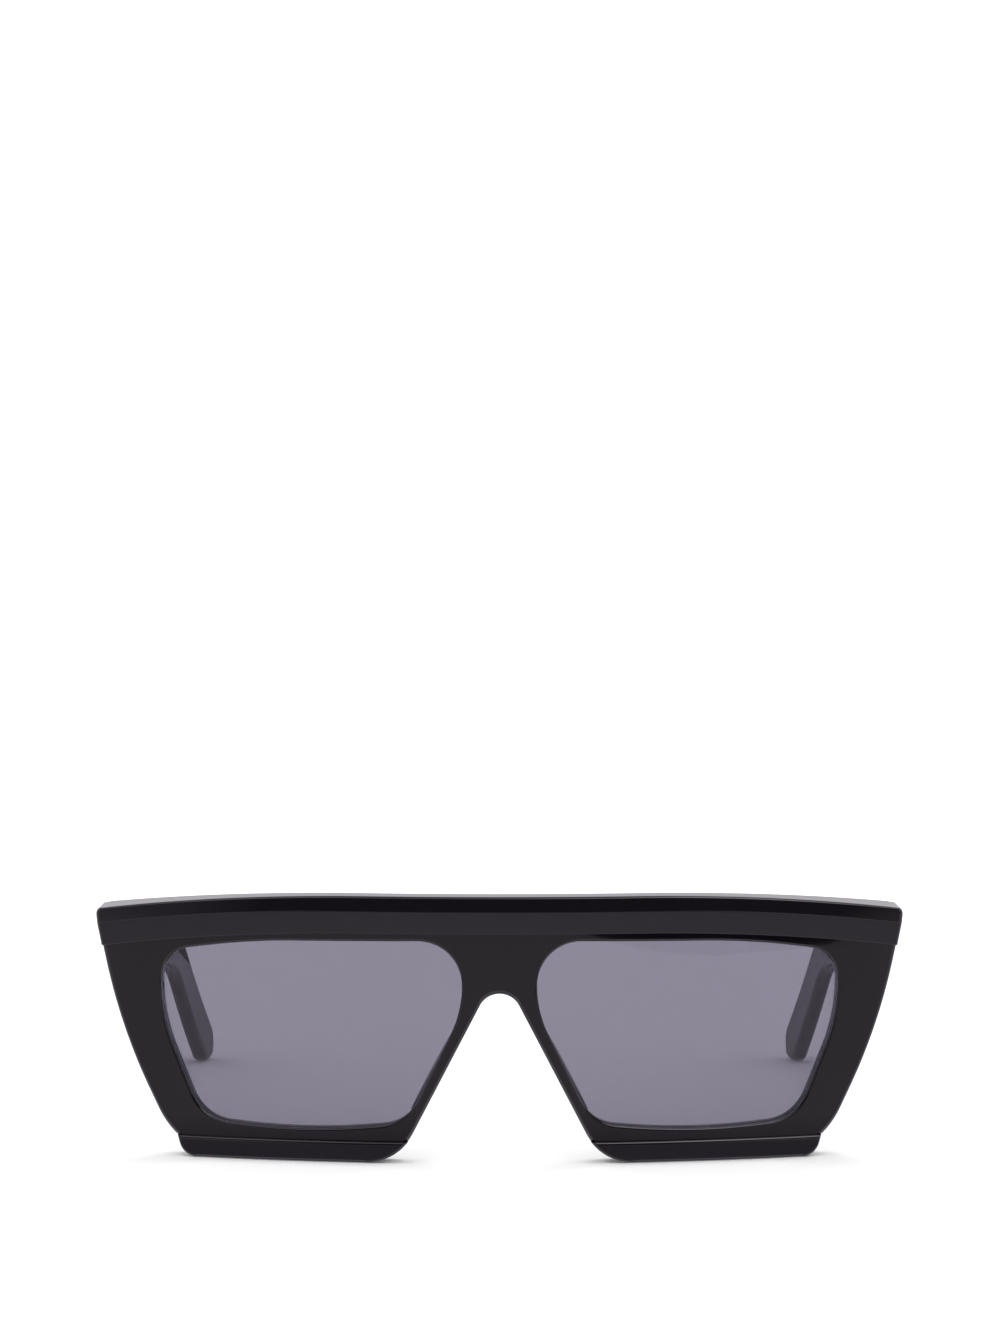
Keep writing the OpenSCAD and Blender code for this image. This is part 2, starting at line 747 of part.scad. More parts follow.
front_frame();
brow_bar();
ledge(-1);  // ledge_left
ledge(1);  // ledge_right
lens(-1);  // lens_left
lens(1);  // lens_right
nose_pad(-1);  // nose_pad_left
nose_pad(1);  // nose_pad_right
end_block(-1);  // end_block_left
end_block(1);  // end_block_right
hinge_front(-1);  // hinge_front_left
hinge_front(1);  // hinge_front_right
hinge_screw(-1);  // hinge_screw_left
hinge_screw(1);  // hinge_screw_right
hinge_arm(-1);  // hinge_arm_left
hinge_arm(1);  // hinge_arm_right
arm(-1);  // arm_left
arm(1);  // arm_right
core(-1);  // core_left
core(1);  // core_right
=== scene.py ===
"""Flat-top sunglasses in polished black acetate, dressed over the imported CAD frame."""
import math

import bmesh
import bpy
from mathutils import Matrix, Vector
from mathutils.geometry import delaunay_2d_cdt
from mathutils.kdtree import KDTree


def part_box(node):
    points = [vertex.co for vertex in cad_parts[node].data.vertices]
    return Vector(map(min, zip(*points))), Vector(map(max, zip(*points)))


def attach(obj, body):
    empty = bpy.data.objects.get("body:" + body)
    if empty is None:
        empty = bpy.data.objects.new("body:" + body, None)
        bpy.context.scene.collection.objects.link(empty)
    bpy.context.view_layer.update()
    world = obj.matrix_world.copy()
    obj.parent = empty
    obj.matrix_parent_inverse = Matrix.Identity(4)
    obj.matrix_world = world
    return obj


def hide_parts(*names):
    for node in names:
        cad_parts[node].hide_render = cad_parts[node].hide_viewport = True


bl_info = {
    "name": "Flat-top sunglasses",
    "version": (1, 0, 0),
    "blender": (4, 5, 0),
    "location": "View3D > Sidebar > Sunglasses",
    "description": "Black acetate sunglasses with smoked lenses, on a white table",
    "category": "Object",
}

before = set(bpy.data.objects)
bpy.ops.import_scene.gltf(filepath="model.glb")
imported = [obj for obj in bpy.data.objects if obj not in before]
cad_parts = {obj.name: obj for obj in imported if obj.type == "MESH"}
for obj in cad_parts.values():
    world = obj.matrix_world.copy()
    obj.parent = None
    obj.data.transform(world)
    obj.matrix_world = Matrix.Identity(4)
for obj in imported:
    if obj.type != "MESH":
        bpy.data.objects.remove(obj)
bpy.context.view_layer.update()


def mm(value):
    """A length in metres, as all lengths in this file are, given in millimetres as a maker reads them."""
    return value * 0.001


def size(name, text, value):
    """A length that a user may change, given in millimetres."""
    return bpy.props.FloatProperty(name=name, description=text, default=mm(value), min=0.0,
                                   precision=5, unit="LENGTH", subtype="DISTANCE")


def angle(name, text, value):
    """An angle that a user may change, given in degrees."""
    return bpy.props.FloatProperty(name=name, description=text, default=math.radians(value),
                                   unit="ROTATION", subtype="ANGLE")


def share(name, text, value):
    """A share of one that a user may change."""
    return bpy.props.FloatProperty(name=name, description=text, default=value, min=0.0, max=1.0,
                                   subtype="FACTOR")


def shade(name, text, value):
    """A colour that a user may change, given as an sRGB hex value."""
    return bpy.props.FloatVectorProperty(name=name, description=text, default=linear(value), size=3,
                                         min=0.0, max=1.0, subtype="COLOR")


def linear(value):
    """Linear red, green and blue of an sRGB hex value."""
    channels = [int(value[i:i + 2], 16) / 255 for i in (1, 3, 5)]
    return tuple(c / 12.92 if c <= 0.04045 else ((c + 0.055) / 1.055) ** 2.4 for c in channels)


# Sizes and colours

class FrontSizes(bpy.types.PropertyGroup):
    """Sizes of the front, its brow, ledges, openings and lenses."""
    face_r: size("Face radius", "Radius of the curve of the face, seen from above", 175)
    front_t: size("Thickness", "Thickness of the front from its face to its back", 5.5)
    front_h: size("Height", "Height from the table to the top of the brow", 48.8)
    half_w: size("Half width", "Half the width of the front along its curve", 77.3)
    knee_in: size("Knee inset", "How far the side's knee lies inside the top corner", 5.2)
    knee_z: size("Knee height", "Height of the side's knee", 23.4)
    knee_r: size("Knee radius", "Radius of the side at its knee", 100)
    foot_in: size("Foot inset", "How far the side's foot lies inside the top corner", 17.5)
    foot_r: size("Foot radius", "Radius of the rim's lower outer corner", 16)
    corner_r: size("Corner radius", "Radius of the brow's upper outer corner", 2)
    cut_share: share("Cut", "How far the openings and ends are cut towards square with the curved face", 0.55)
    eye_w: size("Eye width", "Width of an eye opening along the curve", 56.7)
    eye_z: size("Eye bottom", "Height of the lowest edge of an eye opening", 6)
    rim_top: size("Rim over the eye", "Height of the rim between an opening and the brow", 1.45)
    bridge_w: size("Bridge", "Width between the two eye openings", 13.8)
    nose_z: size("Nose top", "Height of the top of the nose notch", 31)
    nose_r: size("Nose radius", "Radius of the top of the nose notch", 4)
    nose_angle: angle("Nose angle", "Angle of each side of the nose notch from upright", 27.5)
    nose_foot_r: size("Nose foot radius", "Radius of a ledge's lower inner corner", 10)
    nose_rim: size("Nose rim", "Rim between the nose notch and an opening's lower inner corner", 1.9)
    brow_h: size("Brow height", "Height of the brow bar", 6.8)
    brow_proud: size("Brow depth", "How far the brow's ridge stands in front of the face", 1.5)
    facet_h: size("Upper facet", "Height of the upper facet, from the ridge to the top", 2.65)
    facet_lean: size("Upper lean", "How far the upper facet leans back to the top", 0.85)
    lower_lean: size("Lower lean", "How far the lower facet leans back to the lower edge", 0.4)
    brow_flat: size("Level brow", "Half length of the level middle of the brow", 25)
    brow_fall_r: size("Brow fall", "Radius of the brow's fall towards its ends", 344)
    ledge_h: size("Ledge height", "Height of a ledge", 3.95)
    ledge_proud: size("Ledge depth", "How far a ledge stands in front of the face", 1)
    ledge_edge_r: size("Ledge edge", "Radius of a ledge's long front edges", 0.65)
    ledge_end_r: size("Ledge end", "Radius of a ledge's lower outer corner", 3.5)
    ledge_side_r: size("Ledge side", "Radius of the front edges of a ledge's ends", 0.5)
    ledge_in: size("Ledge inset", "How far a ledge's outer end lies inside the top corner", 17)
    ledge_draft: size("Ledge draft", "How far that end leans in towards the table", 1.25)
    lens_t: size("Lens thickness", "Thickness of a lens", 2)
    lens_in: size("Lens setback", "How far a lens lies behind the face", 1.5)
    tongue_t: size("Tongue", "Thickness of the tongue round a lens", 1)
    groove_d: size("Groove", "Depth of the groove that holds a lens", 0.6)
    lens_gap: size("Lens gap", "Gap round a lens in its groove", 0.05)
    glue: size("Glue line", "Gap between bonded pieces", 0.02)
    brow_bevel: size("Brow bevel", "Width of the narrow bevel along the brow's top edge", 0.4)
    brow_in: size("Brow end inset", "How far the brow's upper outer corner lies inside the rim's line", 0.23)
    brow_corner: size("Brow corner", "Radius of that corner", 1)
    brow_end: size("Brow end edge", "Radius of the front edge down the brow's end", 0.8)
    brow_back: share("Rear rise", "Share of the brow's fall that its rear top edge doesn't follow", 0.15)
    rim_edge: size("Rim edge", "Radius of the polished front edge round an eye opening", 0.45)
    side_edge: size("Side edge", "Radius of the polished outer edges", 0.9)
    notch_edge: size("Notch edge", "Radius of the front edge along the nose notch", 0.8)
    back_edge: size("Back edge", "Radius of the rear edges", 0.3)
    ridge_edge: size("Ridge edge", "Radius of the brow's ridge", 0.15)


class ArmSizes(bpy.types.PropertyGroup):
    """Sizes of the arms."""
    arm_t: size("Thickness", "Thickness of an arm at its hinge", 4.2)
    ear_t: size("Ear thickness", "Thickness of an arm from the ear on", 3)
    arm_h: size("Height", "Height of an arm at its hinge", 13.3)
    ear_h: size("Ear height", "Height of an arm at the ear", 8.2)
    arm_l: size("Straight", "Length of the straight of an arm", 81.5)
    slope: angle("Slope", "Fall of the straight of an arm", 6.5)
    ear_r: size("Ear radius", "Radius of the bend at the ear, along the middle of the arm", 28)
    tip_angle: angle("Tip angle", "Angle of the arm tip below level", 41.5)
    toe: angle("Toe-in", "Angle by which an arm starts inwards at the hinge", 1.1)
    even_l: size("Even length", "Length of an arm before it curves inwards, seen from above", 50)
    curve_r: size("Inward curve", "Radius of that inward curve", 340)
    edge_r: size("Edge", "Radius of an arm's long edges", 1.1)
    end_edge: size("End edge", "Radius of the edges of an arm's hinge end", 0.3)
    drop: size("Drop", "Drop from the top of the brow to the top of an arm", 5)
    inset: size("Inset", "How far an arm lies inside the front's top corner", 3)
    block_l: size("Block length", "Length of an end block behind the front", 4.2)
    butt_gap: size("Stop gap", "Gap between the end block and the arm, folded out", 0.15)
    lean_l: size("Lean length", "Length over which the arm's sections turn square to its fall", 20)
    core_d: size("Core", "Diameter of the metal core in an arm", 1.5)
    core_gap: size("Core gap", "Gap between the hinge leaf and the core", 1)
    core_short: size("Core end", "How far the core stops short of the arm's round end", 6)


class HingeSizes(bpy.types.PropertyGroup):
    """Sizes of the hinges."""
    knuckle_d: size("Knuckle", "Outside diameter of a knuckle", 3)
    knuckle_h: size("Knuckle height", "Height of one knuckle", 1.4)
    knuckle_gap: size("Knuckle gap", "Gap between two knuckles", 0.06)
    knuckle_side: size("Knuckle side", "Gap between a knuckle and the arm's inner face", 0.2)
    knuckles: bpy.props.IntProperty(name="Knuckles", description="Knuckles of one hinge", default=5, min=3)
    leaf_t: size("Leaf thickness", "Thickness of a hinge leaf", 1)
    leaf_h: size("Leaf height", "Height of a hinge leaf", 9)
    leaf_l: size("Leaf length", "Length of the leaf in an arm", 11.5)
    sunk_gap: size("Sunk gap", "Gap round a leaf in the plastic", 0.05)
    edge: size("Edge", "Width of the tumbled edges of the metal", 0.08)
    screw_d: size("Screw", "Diameter of the screw's shank", 1.4)
    head_d: size("Head", "Diameter of the screw's head", 2.4)
    head_h: size("Head height", "Height of the screw's head", 0.7)
    slot_w: size("Slot", "Width of the slot in the screw's head", 0.4)
    head_edge: size("Head edge", "Radius of the polished edge of the screw's head", 0.12)


class Finishes(bpy.types.PropertyGroup):
    """Colours of the materials and the stage."""
    acetate: shade("Acetate", "Body colour of the black acetate", "#0a090b")
    lens: shade("Lens", "Colour of white light that has passed a lens", "#74717f")
    hinge: shade("Hinge", "Colour of the nickel silver hinges", "#b9b4a9")
    screw: shade("Screw", "Colour of the steel screws", "#c4c4c6")
    table: shade("Table", "Colour of the white table", "#f4f4f4")


# Shape of the front, as places along its curve and heights

# The middle of the face lies this far in front of the frame's origin, 1.5 mm behind the brow's ridge
MID_Y = -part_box("brow_bar")[0][1] - mm(1.5)
# The chords of a round corner stay this close to it, and no outline has a longer step than this
ARC_GAP = mm(0.004)
LONGEST_STEP = mm(2)
# Steps across a rounded edge, and the turns of its rows from the surface to the wall
ROUND_STEPS = 4
ROUND_TURNS = [math.pi / 2 * k / ROUND_STEPS for k in range(ROUND_STEPS + 1)]
# Faces that meet at less than this are shaded as one
SHARP = math.radians(30)
# Points that lie closer than this are one, and numbers closer than the second are equal
SAME = 1e-7
EQUAL = 1e-9
# The corner attribute that holds the directions a plate is shaded with
SHADING = "shading"


def unit2(v):
    """A flat direction of length one."""
    return v / v.length


def rounded(a, b, c, r):
    """Points of the round corner at b between a and c."""
    u, w = unit2(a - b), unit2(c - b)
    half = math.acos(max(-1.0, min(1.0, u.dot(w)))) / 2
    mid = b + unit2(u + w) * (r / math.sin(half))
    start = b + u * (r / math.tan(half)) - mid
    turn = math.pi - 2 * half
    way = 1 if u.y * w.x - u.x * w.y > 0 else -1
    steps = max(2, math.ceil(turn / (2 * math.acos(1 - min(ARC_GAP / r, 0.5)))))
    first = math.atan2(start.y, start.x)
    turns = [first + way * turn * i / steps for i in range(steps + 1)]
    return [mid + r * Vector((math.cos(t), math.sin(t))) for t in turns]


def outline(corners):
    """A closed outline from corners that each give x, z and a radius."""
    places = [Vector(c[:2]) for c in corners]
    points = []
    for i, c in enumerate(corners):
        before, after = places[i - 1], places[(i + 1) % len(places)]
        points += rounded(before, places[i], after, c[2]) if c[2] > 0 else [places[i]]
    return points


def cut_turn(f):
    """Direction in which the openings and ends of one side are cut, as a turn from straight back."""
    return f.cut_share * (f.bridge_w / 2 + f.eye_w / 2) / f.face_r


def cut_view(f, p):
    """A point of the right-hand side seen along its cut, as turn, place and height."""
    return (cut_turn(f), f.face_r * math.sin(p.x / f.face_r - cut_turn(f)), p.y)


def front_view(f, p):
    """A point seen from the front, as turn, place and height."""
    return (0.0, f.face_r * math.sin(p.x / f.face_r), p.y)


def flipped(points):
    """The same points on the other half, in the opposite order."""
    return [(-turn, -across, z) for turn, across, z in reversed(points)]


def round_place(f, point, depth):
    """Angle round the face's axis at which a point's cut meets the surface at a depth."""
    turn, across, _ = point
    return math.asin(across / (f.face_r - depth)) + turn


def turned_place(f, a, depth, z):
    """The point at an angle round the face's axis, a depth behind the face, and a height."""
    r = f.face_r - depth
    return Vector((r * math.sin(a), f.face_r - r * math.cos(a) - MID_Y, z))


def at_depth(f, point, depth):
    """Where a point of an outline lies in space when it is cut at a depth."""
    return turned_place(f, round_place(f, point, depth), depth, point[2])


def along(f, point, depth=0.0):
    """Place along the curve and height."""
    return Vector((f.face_r * round_place(f, point, depth), point[2]))


def fall(f, s):
    """Fall of the brow at a place along the curve."""
    return max(0.0, abs(s) - f.brow_flat) ** 2 / (2 * f.brow_fall_r)


def brow_tip(f):
    """Height of the brow's top line at its end, and how steeply it falls there."""
    return f.front_h - fall(f, f.half_w), (f.half_w - f.brow_flat) / f.brow_fall_r


def nose_apex(f):
    """Height at which the straight sides of the nose notch would meet."""
    return f.nose_z + f.nose_r * (1 / math.sin(f.nose_angle) - 1)


def notch_x(f, z):
    """How far out the straight side of the nose notch lies at a height."""
    return (nose_apex(f) - z) * math.tan(f.nose_angle)


# Corners of an eye opening from the lower inner one on: place and height as shares of its width and
# height, and the share of the shorter side that the rounding takes up
EYE_SHAPE = (
    (0.0, 0.035, 0.247),
    (0.514, -0.019, 0.66),
    (0.857, 0.03, 0.261),
    (1.0, 0.568, 0.518),
    (1.0, 0.919, 0.454),
    (0.686, 0.991, 0.46),
    (0.0, 1.004, 0.631),
    (0.0, 0.632, 0.358),
)


def eye_points(f):
    """Outline of the right-hand eye opening as cut, anticlockwise from its lower inner corner."""
    eye_h = f.front_h - f.brow_h - f.rim_top - f.eye_z
    places = [Vector((f.bridge_w / 2 + x * f.eye_w, f.eye_z + z * eye_h)) for x, z, _ in EYE_SHAPE]
    places[0].x = notch_x(f, places[0].y) + f.nose_rim / math.cos(f.nose_angle)
    corners = []
    for i, p in enumerate(places):
        a, c = places[i - 1], places[(i + 1) % len(places)]
        half = math.acos(unit2(a - p).dot(unit2(c - p))) / 2
        r = EYE_SHAPE[i][2] * min((a - p).length, (c - p).length) * math.tan(half)
        corners.append((p.x, p.y, r))
    return [cut_view(f, p) for p in outline(corners)]


def side_points(f):
    """Side outline of the rim and the brow from the foot up to the level top line, right-hand side."""
    top, slope = brow_tip(f)
    points = outline([
        (0, 0, 0),
        (f.half_w - f.foot_in, 0, f.foot_r),
        (f.half_w - f.knee_in, f.knee_z, f.knee_r),
        (f.half_w, top, f.corner_r),
        (f.half_w / 2, top + slope * f.half_w / 2, 0),
    ])
    return [cut_view(f, p) for p in points[1:-1]]


def notch_points(f):
    """Right-hand half of the nose notch from its top down to the table."""
    apex = nose_apex(f)
    foot = apex * math.tan(f.nose_angle)
    points = outline([
        (0, apex, f.nose_r),
        (foot, 0, f.nose_foot_r),
        (f.half_w, 0, 0),
        (f.half_w, apex, 0),
        (-f.half_w, apex, 0),
        (-f.half_w, 0, 0),
        (-foot, 0, f.nose_foot_r),
    ])
    points = points[:points.index(Vector((f.half_w, 0)))]
    return [front_view(f, Vector((max(p.x, 0.0), p.y))) for p in points if p.x > -mm(0.001)]


def between(p, q, part):
    """The point that lies a part of the way from p to q."""
    return tuple(a + (b - a) * part for a, b in zip(p, q))


def clipped(points, low, high):
    """The stretch of an open line between two heights, with new points where it meets them."""
    kept = []
    for p, q in zip(points, points[1:]):
        for level in sorted((low, high), reverse=p[2] > q[2]):
            if (p[2] - level) * (q[2] - level) < 0:
                kept.append(between(p, q, (level - p[2]) / (q[2] - p[2])))
        if low - EQUAL <= q[2] <= high + EQUAL:
            kept.append(q)
    if low - EQUAL <= points[0][2] <= high + EQUAL:
        kept.insert(0, points[0])
    return kept


def under(points, limit):
    """The start of a line that rises, up to where it passes a height that limit(point) gives."""
    kept = []
    for p, q in zip(points, points[1:]):
        kept.append(p)
        over_p, over_q = p[2] - limit(p), q[2] - limit(q)
        if over_p < 0 <= over_q:
            kept.append(between(p, q, over_p / (over_p - over_q)))
            break
    return kept


def past(points, limit):
    """The rest of a line that rises, from where it passes a height that limit(point) gives."""
    start = under(points, limit)
    return [start[-1]] + points[len(start) - 1:]


class Stretch:
    """A stretch of outline: its points, its front and rear edge radii, and its longest step."""

    def __init__(self, points, front_r=0.0, back_r=0.0, step=LONGEST_STEP):
        self.points = points
        self.front_r = front_r
        self.back_r = back_r
        self.step = step

    def flipped(self):
        """The same stretch on the other half."""
        return Stretch(flipped(self.points), self.front_r, self.back_r, self.step)


def whole(half):
    """The stretches of one half, and after them those of the other one."""
    return half + [stretch.flipped() for stretch in reversed(half)]


def finely(points, step):
    """The line with points added so that it has no longer step than this."""
    fine = [points[0]]
    for p, q in zip(points, points[1:]):
        n = max(1, math.ceil(math.hypot(q[1] - p[1], q[2] - p[2]) / step))
        fine += [tuple(a + (b - a) * i / n for a, b in zip(p, q)) for i in range(1, n + 1)]
    return fine


class Loop:
    """A closed outline with, at each point, the direction away from the material and its edge radii. wall
    gives the rows between its two edges, as distances away from the material and depths, and inset sets
    the edges back into the material."""

    def __init__(self, f, stretches, hole=False, wall=(), inset=0.0):
        self.wall = wall
        self.inset = inset
        self.points, self.front_r, self.back_r = [], [], []
        self.ways, self.before, self.after = [], [], []
        for stretch in stretches:
            line = finely(stretch.points, stretch.step)
            flat = [along(f, p) for p in line]
            for i, p in enumerate(line):
                t = unit2(flat[min(i + 1, len(flat) - 1)] - flat[max(i - 1, 0)])
                way = Vector((t.y, -t.x)) * (-1 if hole else 1)
                if self.points and (along(f, p) - along(f, self.points[-1])).length < SAME:
                    self.join(-1, way, stretch.front_r, stretch.back_r)
                    self.after[-1] = way
                    continue
                self.points.append(p)
                self.front_r.append(stretch.front_r)
                self.back_r.append(stretch.back_r)
                for ways in (self.ways, self.before, self.after):
                    ways.append(way)
        if (along(f, self.points[0]) - along(f, self.points[-1])).length < SAME:
            self.points.pop()
            self.after.pop()
            self.ways.pop()
            self.join(0, self.before[-1], self.front_r.pop(), self.back_r.pop())
            self.before[0] = self.before.pop()
        for i, (a, b) in enumerate(zip(self.before, self.after)):
            if a.dot(b) > math.cos(SHARP):
                self.before[i] = self.after[i] = unit2(a + b)

    def join(self, i, way, front_r, back_r):
        """Where two stretches meet, the edges are offset along a mitre."""
        if self.front_r[i] and front_r:
            self.ways[i] = (self.ways[i] + way) / (1 + self.ways[i].dot(way))
        elif front_r or self.front_r[i]:
            # The rounded edge ends on the other stretch, and slides along it, but not much over three radii
            edge, other = (self.ways[i], way) if self.front_r[i] else (way, self.ways[i])
            slide = Vector((-other.y, other.x))
            slide *= 1 if slide.dot(edge) > 0 else -1
            self.ways[i] = slide / max(0.3, slide.dot(edge))
        self.front_r[i] = max(self.front_r[i], front_r)
        self.back_r[i] = max(self.back_r[i], back_r)

    def moved(self, amounts):
        """The outline moved away from the material by an amount at each point."""
        return [(turn, across + way.x * a, z + way.y * a)
                for (turn, across, z), way, a in zip(self.points, self.ways, amounts)]

    def edge_row(self, surface, t, back=False):
        """One row of a rounded edge: its line, its depths, its directions out of the surface, and t, which
        runs from 0 at the surface to a right angle at the wall."""
        f, depth = surface
        radii = self.back_r if back else self.front_r
        line = self.moved([-self.inset - r * (1 - math.sin(t)) for r in radii])
        sign = -1 if back else 1
        depths = [depth(*along(f, p)) + sign * r * (1 - math.cos(t)) for p, r in zip(line, radii)]
        return line, depths, [facing(f, depth, along(f, p, d)) * sign for p, d in zip(line, depths)], t

    def wall_row(self, f, away, depth):
        """One row of the wall at one depth, moved away from the material."""
        line = self.moved([away] * len(self.points))
        flats = [facing(f, lambda s, z: depth, along(f, p)) for p in line]
        return line, [depth] * len(line), flats, math.pi / 2


def facing(f, depth, place):
    """Direction out of the front of a surface at a place along the curve and a height."""
    s, z = place
    near = mm(0.02)
    slope_s = (depth(s + near, z) - depth(s - near, z)) / (2 * near)
    slope_z = (depth(s, z + near) - depth(s, z - near)) / (2 * near)
    a = s / f.face_r
    x, y = math.sin(a) + slope_s * math.cos(a), slope_s * math.sin(a) - math.cos(a)
    return Vector((x, y, slope_z)).normalized()


def sideways(point, way):
    """Direction out of a wall that is cut through the plate, at a point of its outline."""
    return Vector((way.x * math.cos(point[0]), way.x * math.sin(point[0]), way.y)).normalized()


def inside(point, ring):
    """True if a flat point lies inside a closed flat ring."""
    x, y = point
    odd = False
    for (ax, ay), (bx, by) in zip(ring, ring[1:] + ring[:1]):
        if (ay > y) != (by > y) and x < ax + (y - ay) * (bx - ax) / (by - ay):
            odd = not odd
    return odd


def filled(rings, runs, grid):
    """Triangles between flat rings, the first one outermost, as indices into the rings' points and
    then the added points, with the added points: runs of points to keep joined, and a grid."""
    flat = [p for ring in rings for p in ring]
    edges, start = [], 0
    for ring in rings:
        n = len(ring)
        edges += [(start + i, start + (i + 1) % n) for i in range(n)]
        start += n
    added = []
    for run in runs:
        edges += [(start + i, start + i + 1) for i in range(len(run) - 1)]
        start += len(run)
        added += run
    outer = [tuple(p) for p in rings[0]]
    holes = [[tuple(p) for p in ring] for ring in rings[1:]]
    low_x, high_x = min(p[0] for p in outer), max(p[0] for p in outer)
    low_z, high_z = min(p[1] for p in outer), max(p[1] for p in outer)
    near = KDTree(len(flat) + len(added))
    for i, p in enumerate(flat + added):
        near.insert((p[0], p[1], 0), i)
    near.balance()
    columns, rows = int((high_x - low_x) / grid), int((high_z - low_z) / grid)
    for i in range(1, columns):
        for j in range(1, rows):
            p = Vector((low_x + i * (high_x - low_x) / columns, low_z + j * (high_z - low_z) / rows))
            if not inside(p, outer) or any(inside(p, hole) for hole in holes):
                continue
            # The grid stays nearly half a step away from the lines
            if near.find((p[0], p[1], 0))[2] > grid * 0.45:
                added.append(p)
    within_edges = 1
    _, _, faces, origins, _, _ = delaunay_2d_cdt(flat + added, edges, [], within_edges, EQUAL)
    triangles = [[origins[i][0] for i in face] for face in faces]
    owner = [k for k, ring in enumerate(rings) for _ in ring] + [0] * len(added)
    # The openings are convex, so only what fills one has all its corners on that ring
    return [t for t in triangles if not (owner[t[0]] and owner[t[0]] == owner[t[1]] == owner[t[2]])], added


def shaded_face(bm, verts, normals, material=0):
    """A face whose corners are shaded with given directions, or with its own where one is missing."""
    face = bm.faces.new(verts)
    face.material_index = material
    layer = bm.loops.layers.float_vector[SHADING]
    for corner, normal in zip(face.loops, normals):
        corner[layer] = normal or (0, 0, 0)


def plate(f, loops, front, back, lines=(), grid=mm(2.5), wall_material=0):
    """A bent plate between two depths: front(s, z) gives the front's depth, and back is one depth.
    lines are runs of places on the front where its slope changes."""
    bm = bmesh.new()
    bm.loops.layers.float_vector.new(SHADING)
    rear = lambda s, z: back
    first, last = [], []
    for loop in loops:
        rows = [loop.edge_row((f, front), t) for t in ROUND_TURNS]
        rows += [loop.wall_row(f, away, depth) for away, depth in loop.wall]
        rows += [loop.edge_row((f, rear), t, back=True) for t in reversed(ROUND_TURNS)]
        verts = [[bm.verts.new(at_depth(f, p, d)) for p, d in zip(line, depths)]
                 for line, depths, _, _ in rows]
        n = len(loop.points)
        for k in range(len(rows) - 1):
            is_wall = rows[k][3] == rows[k + 1][3]
            # The sides of a groove or a tongue are flat, and shaded so
            is_step = is_wall and abs(rows[k][1][0] - rows[k + 1][1][0]) < EQUAL
            for i in range(n):
                j = (i + 1) % n
                corners = ((k, i, loop.after[i]), (k, j, loop.before[j]),
                           (k + 1, j, loop.before[j]), (k + 1, i, loop.after[i]))
                normals = []
                for row, place, way in corners:
                    line, _, flats, t = rows[row]
                    side = sideways(line[place], way)
                    rounded_way = (flats[place] * math.cos(t) + side * math.sin(t)).normalized()
                    normals.append(None if is_step else rounded_way)
                shaded_face(bm, [verts[row][place] for row, place, _ in corners], normals,
                            wall_material if is_wall else 0)
        first.append((verts[0], [along(f, p, d) for p, d in zip(rows[0][0], rows[0][1])]))
        last.append((verts[-1], [along(f, p, d) for p, d in zip(rows[-1][0], rows[-1][1])]))
    for rings, depth, runs, sign in ((first, front, lines, 1), (last, rear, (), -1)):
        triangles, added = filled([flat for _, flat in rings], runs, grid)
        verts = [v for row, _ in rings for v in row]
        verts += [bm.verts.new(turned_place(f, s / f.face_r, depth(s, z), z)) for s, z in added]
        places = [p for _, flat in rings for p in flat] + list(added)
        for t in triangles:
            shaded_face(bm, [verts[i] for i in t], [facing(f, depth, places[i]) * sign for i in t])
    bmesh.ops.remove_doubles(bm, verts=bm.verts, dist=SAME)
    bmesh.ops.recalc_face_normals(bm, faces=bm.faces)
    return bm


# Turning meshes into pieces

def piece(name, bm, body, nodes, slot, *finishes):
    """A finished piece of a closed mesh, which rides on a body and stands for CAD nodes. It is shaded with
    its own directions where it has them, and otherwise smooth but for its sharp edges."""
    if any(not edge.is_manifold for edge in bm.edges):
        raise ValueError(f"{name} isn't closed")
    bmesh.ops.recalc_face_normals(bm, faces=bm.faces)
    for face in bm.faces:
        face.smooth = True
    for edge in bm.edges:
        edge.smooth = edge.calc_face_angle(0.0) < SHARP
    mesh = bpy.data.meshes.new(name)
    bm.to_mesh(mesh)
    bm.free()
    for short in finishes:
        mesh.materials.append(finish(short))
    obj = bpy.data.objects.new(name, mesh)
    bpy.context.scene.collection.objects.link(obj)
    if SHADING in mesh.attributes:
        normals = [tuple(corner.vector) for corner in mesh.attributes[SHADING].data]
        mesh.attributes.remove(mesh.attributes[SHADING])
        mesh.normals_split_custom_set(normals)
    else:
        # Large faces pull the shading of the rounded edges beside them
        even = obj.modifiers.new("Even shading", "WEIGHTED_NORMAL")
        even.keep_sharp = True
        even.weight = 80
    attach(obj, body)
    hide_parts(*nodes.split())
    return obj


def on_side(side, bm):
    """A mesh made for the right-hand side, mirrored where it is for the left."""
    if side == "left":
        bmesh.ops.scale(bm, vec=(-1, 1, 1), verts=bm.verts)
        layer = bm.loops.layers.float_vector.get(SHADING)
        for face in bm.faces if layer else ():
            for corner in face.loops:
                corner[layer].x *= -1
    return bm


def rough_object(bm):
    """An object of a mesh that is only there to be worked with."""
    rough = bpy.data.objects.new("rough", bpy.data.meshes.new("rough"))
    bm.to_mesh(rough.data)
    bm.free()
    bpy.context.scene.collection.objects.link(rough)
    return rough


def grown(bm, add_modifier):
    """The mesh after a modifier that add_modifier(object) puts on it."""
    rough = rough_object(bm)
    add_modifier(rough)
    result = bpy.data.meshes.new_from_object(rough.evaluated_get(bpy.context.evaluated_depsgraph_get()))
    rough.modifiers.clear()
    bpy.data.objects.remove(rough)
    bm = bmesh.new()
    bm.from_mesh(result)
    bpy.data.meshes.remove(result)
    bmesh.ops.remove_doubles(bm, verts=bm.verts, dist=SAME)
    return bm


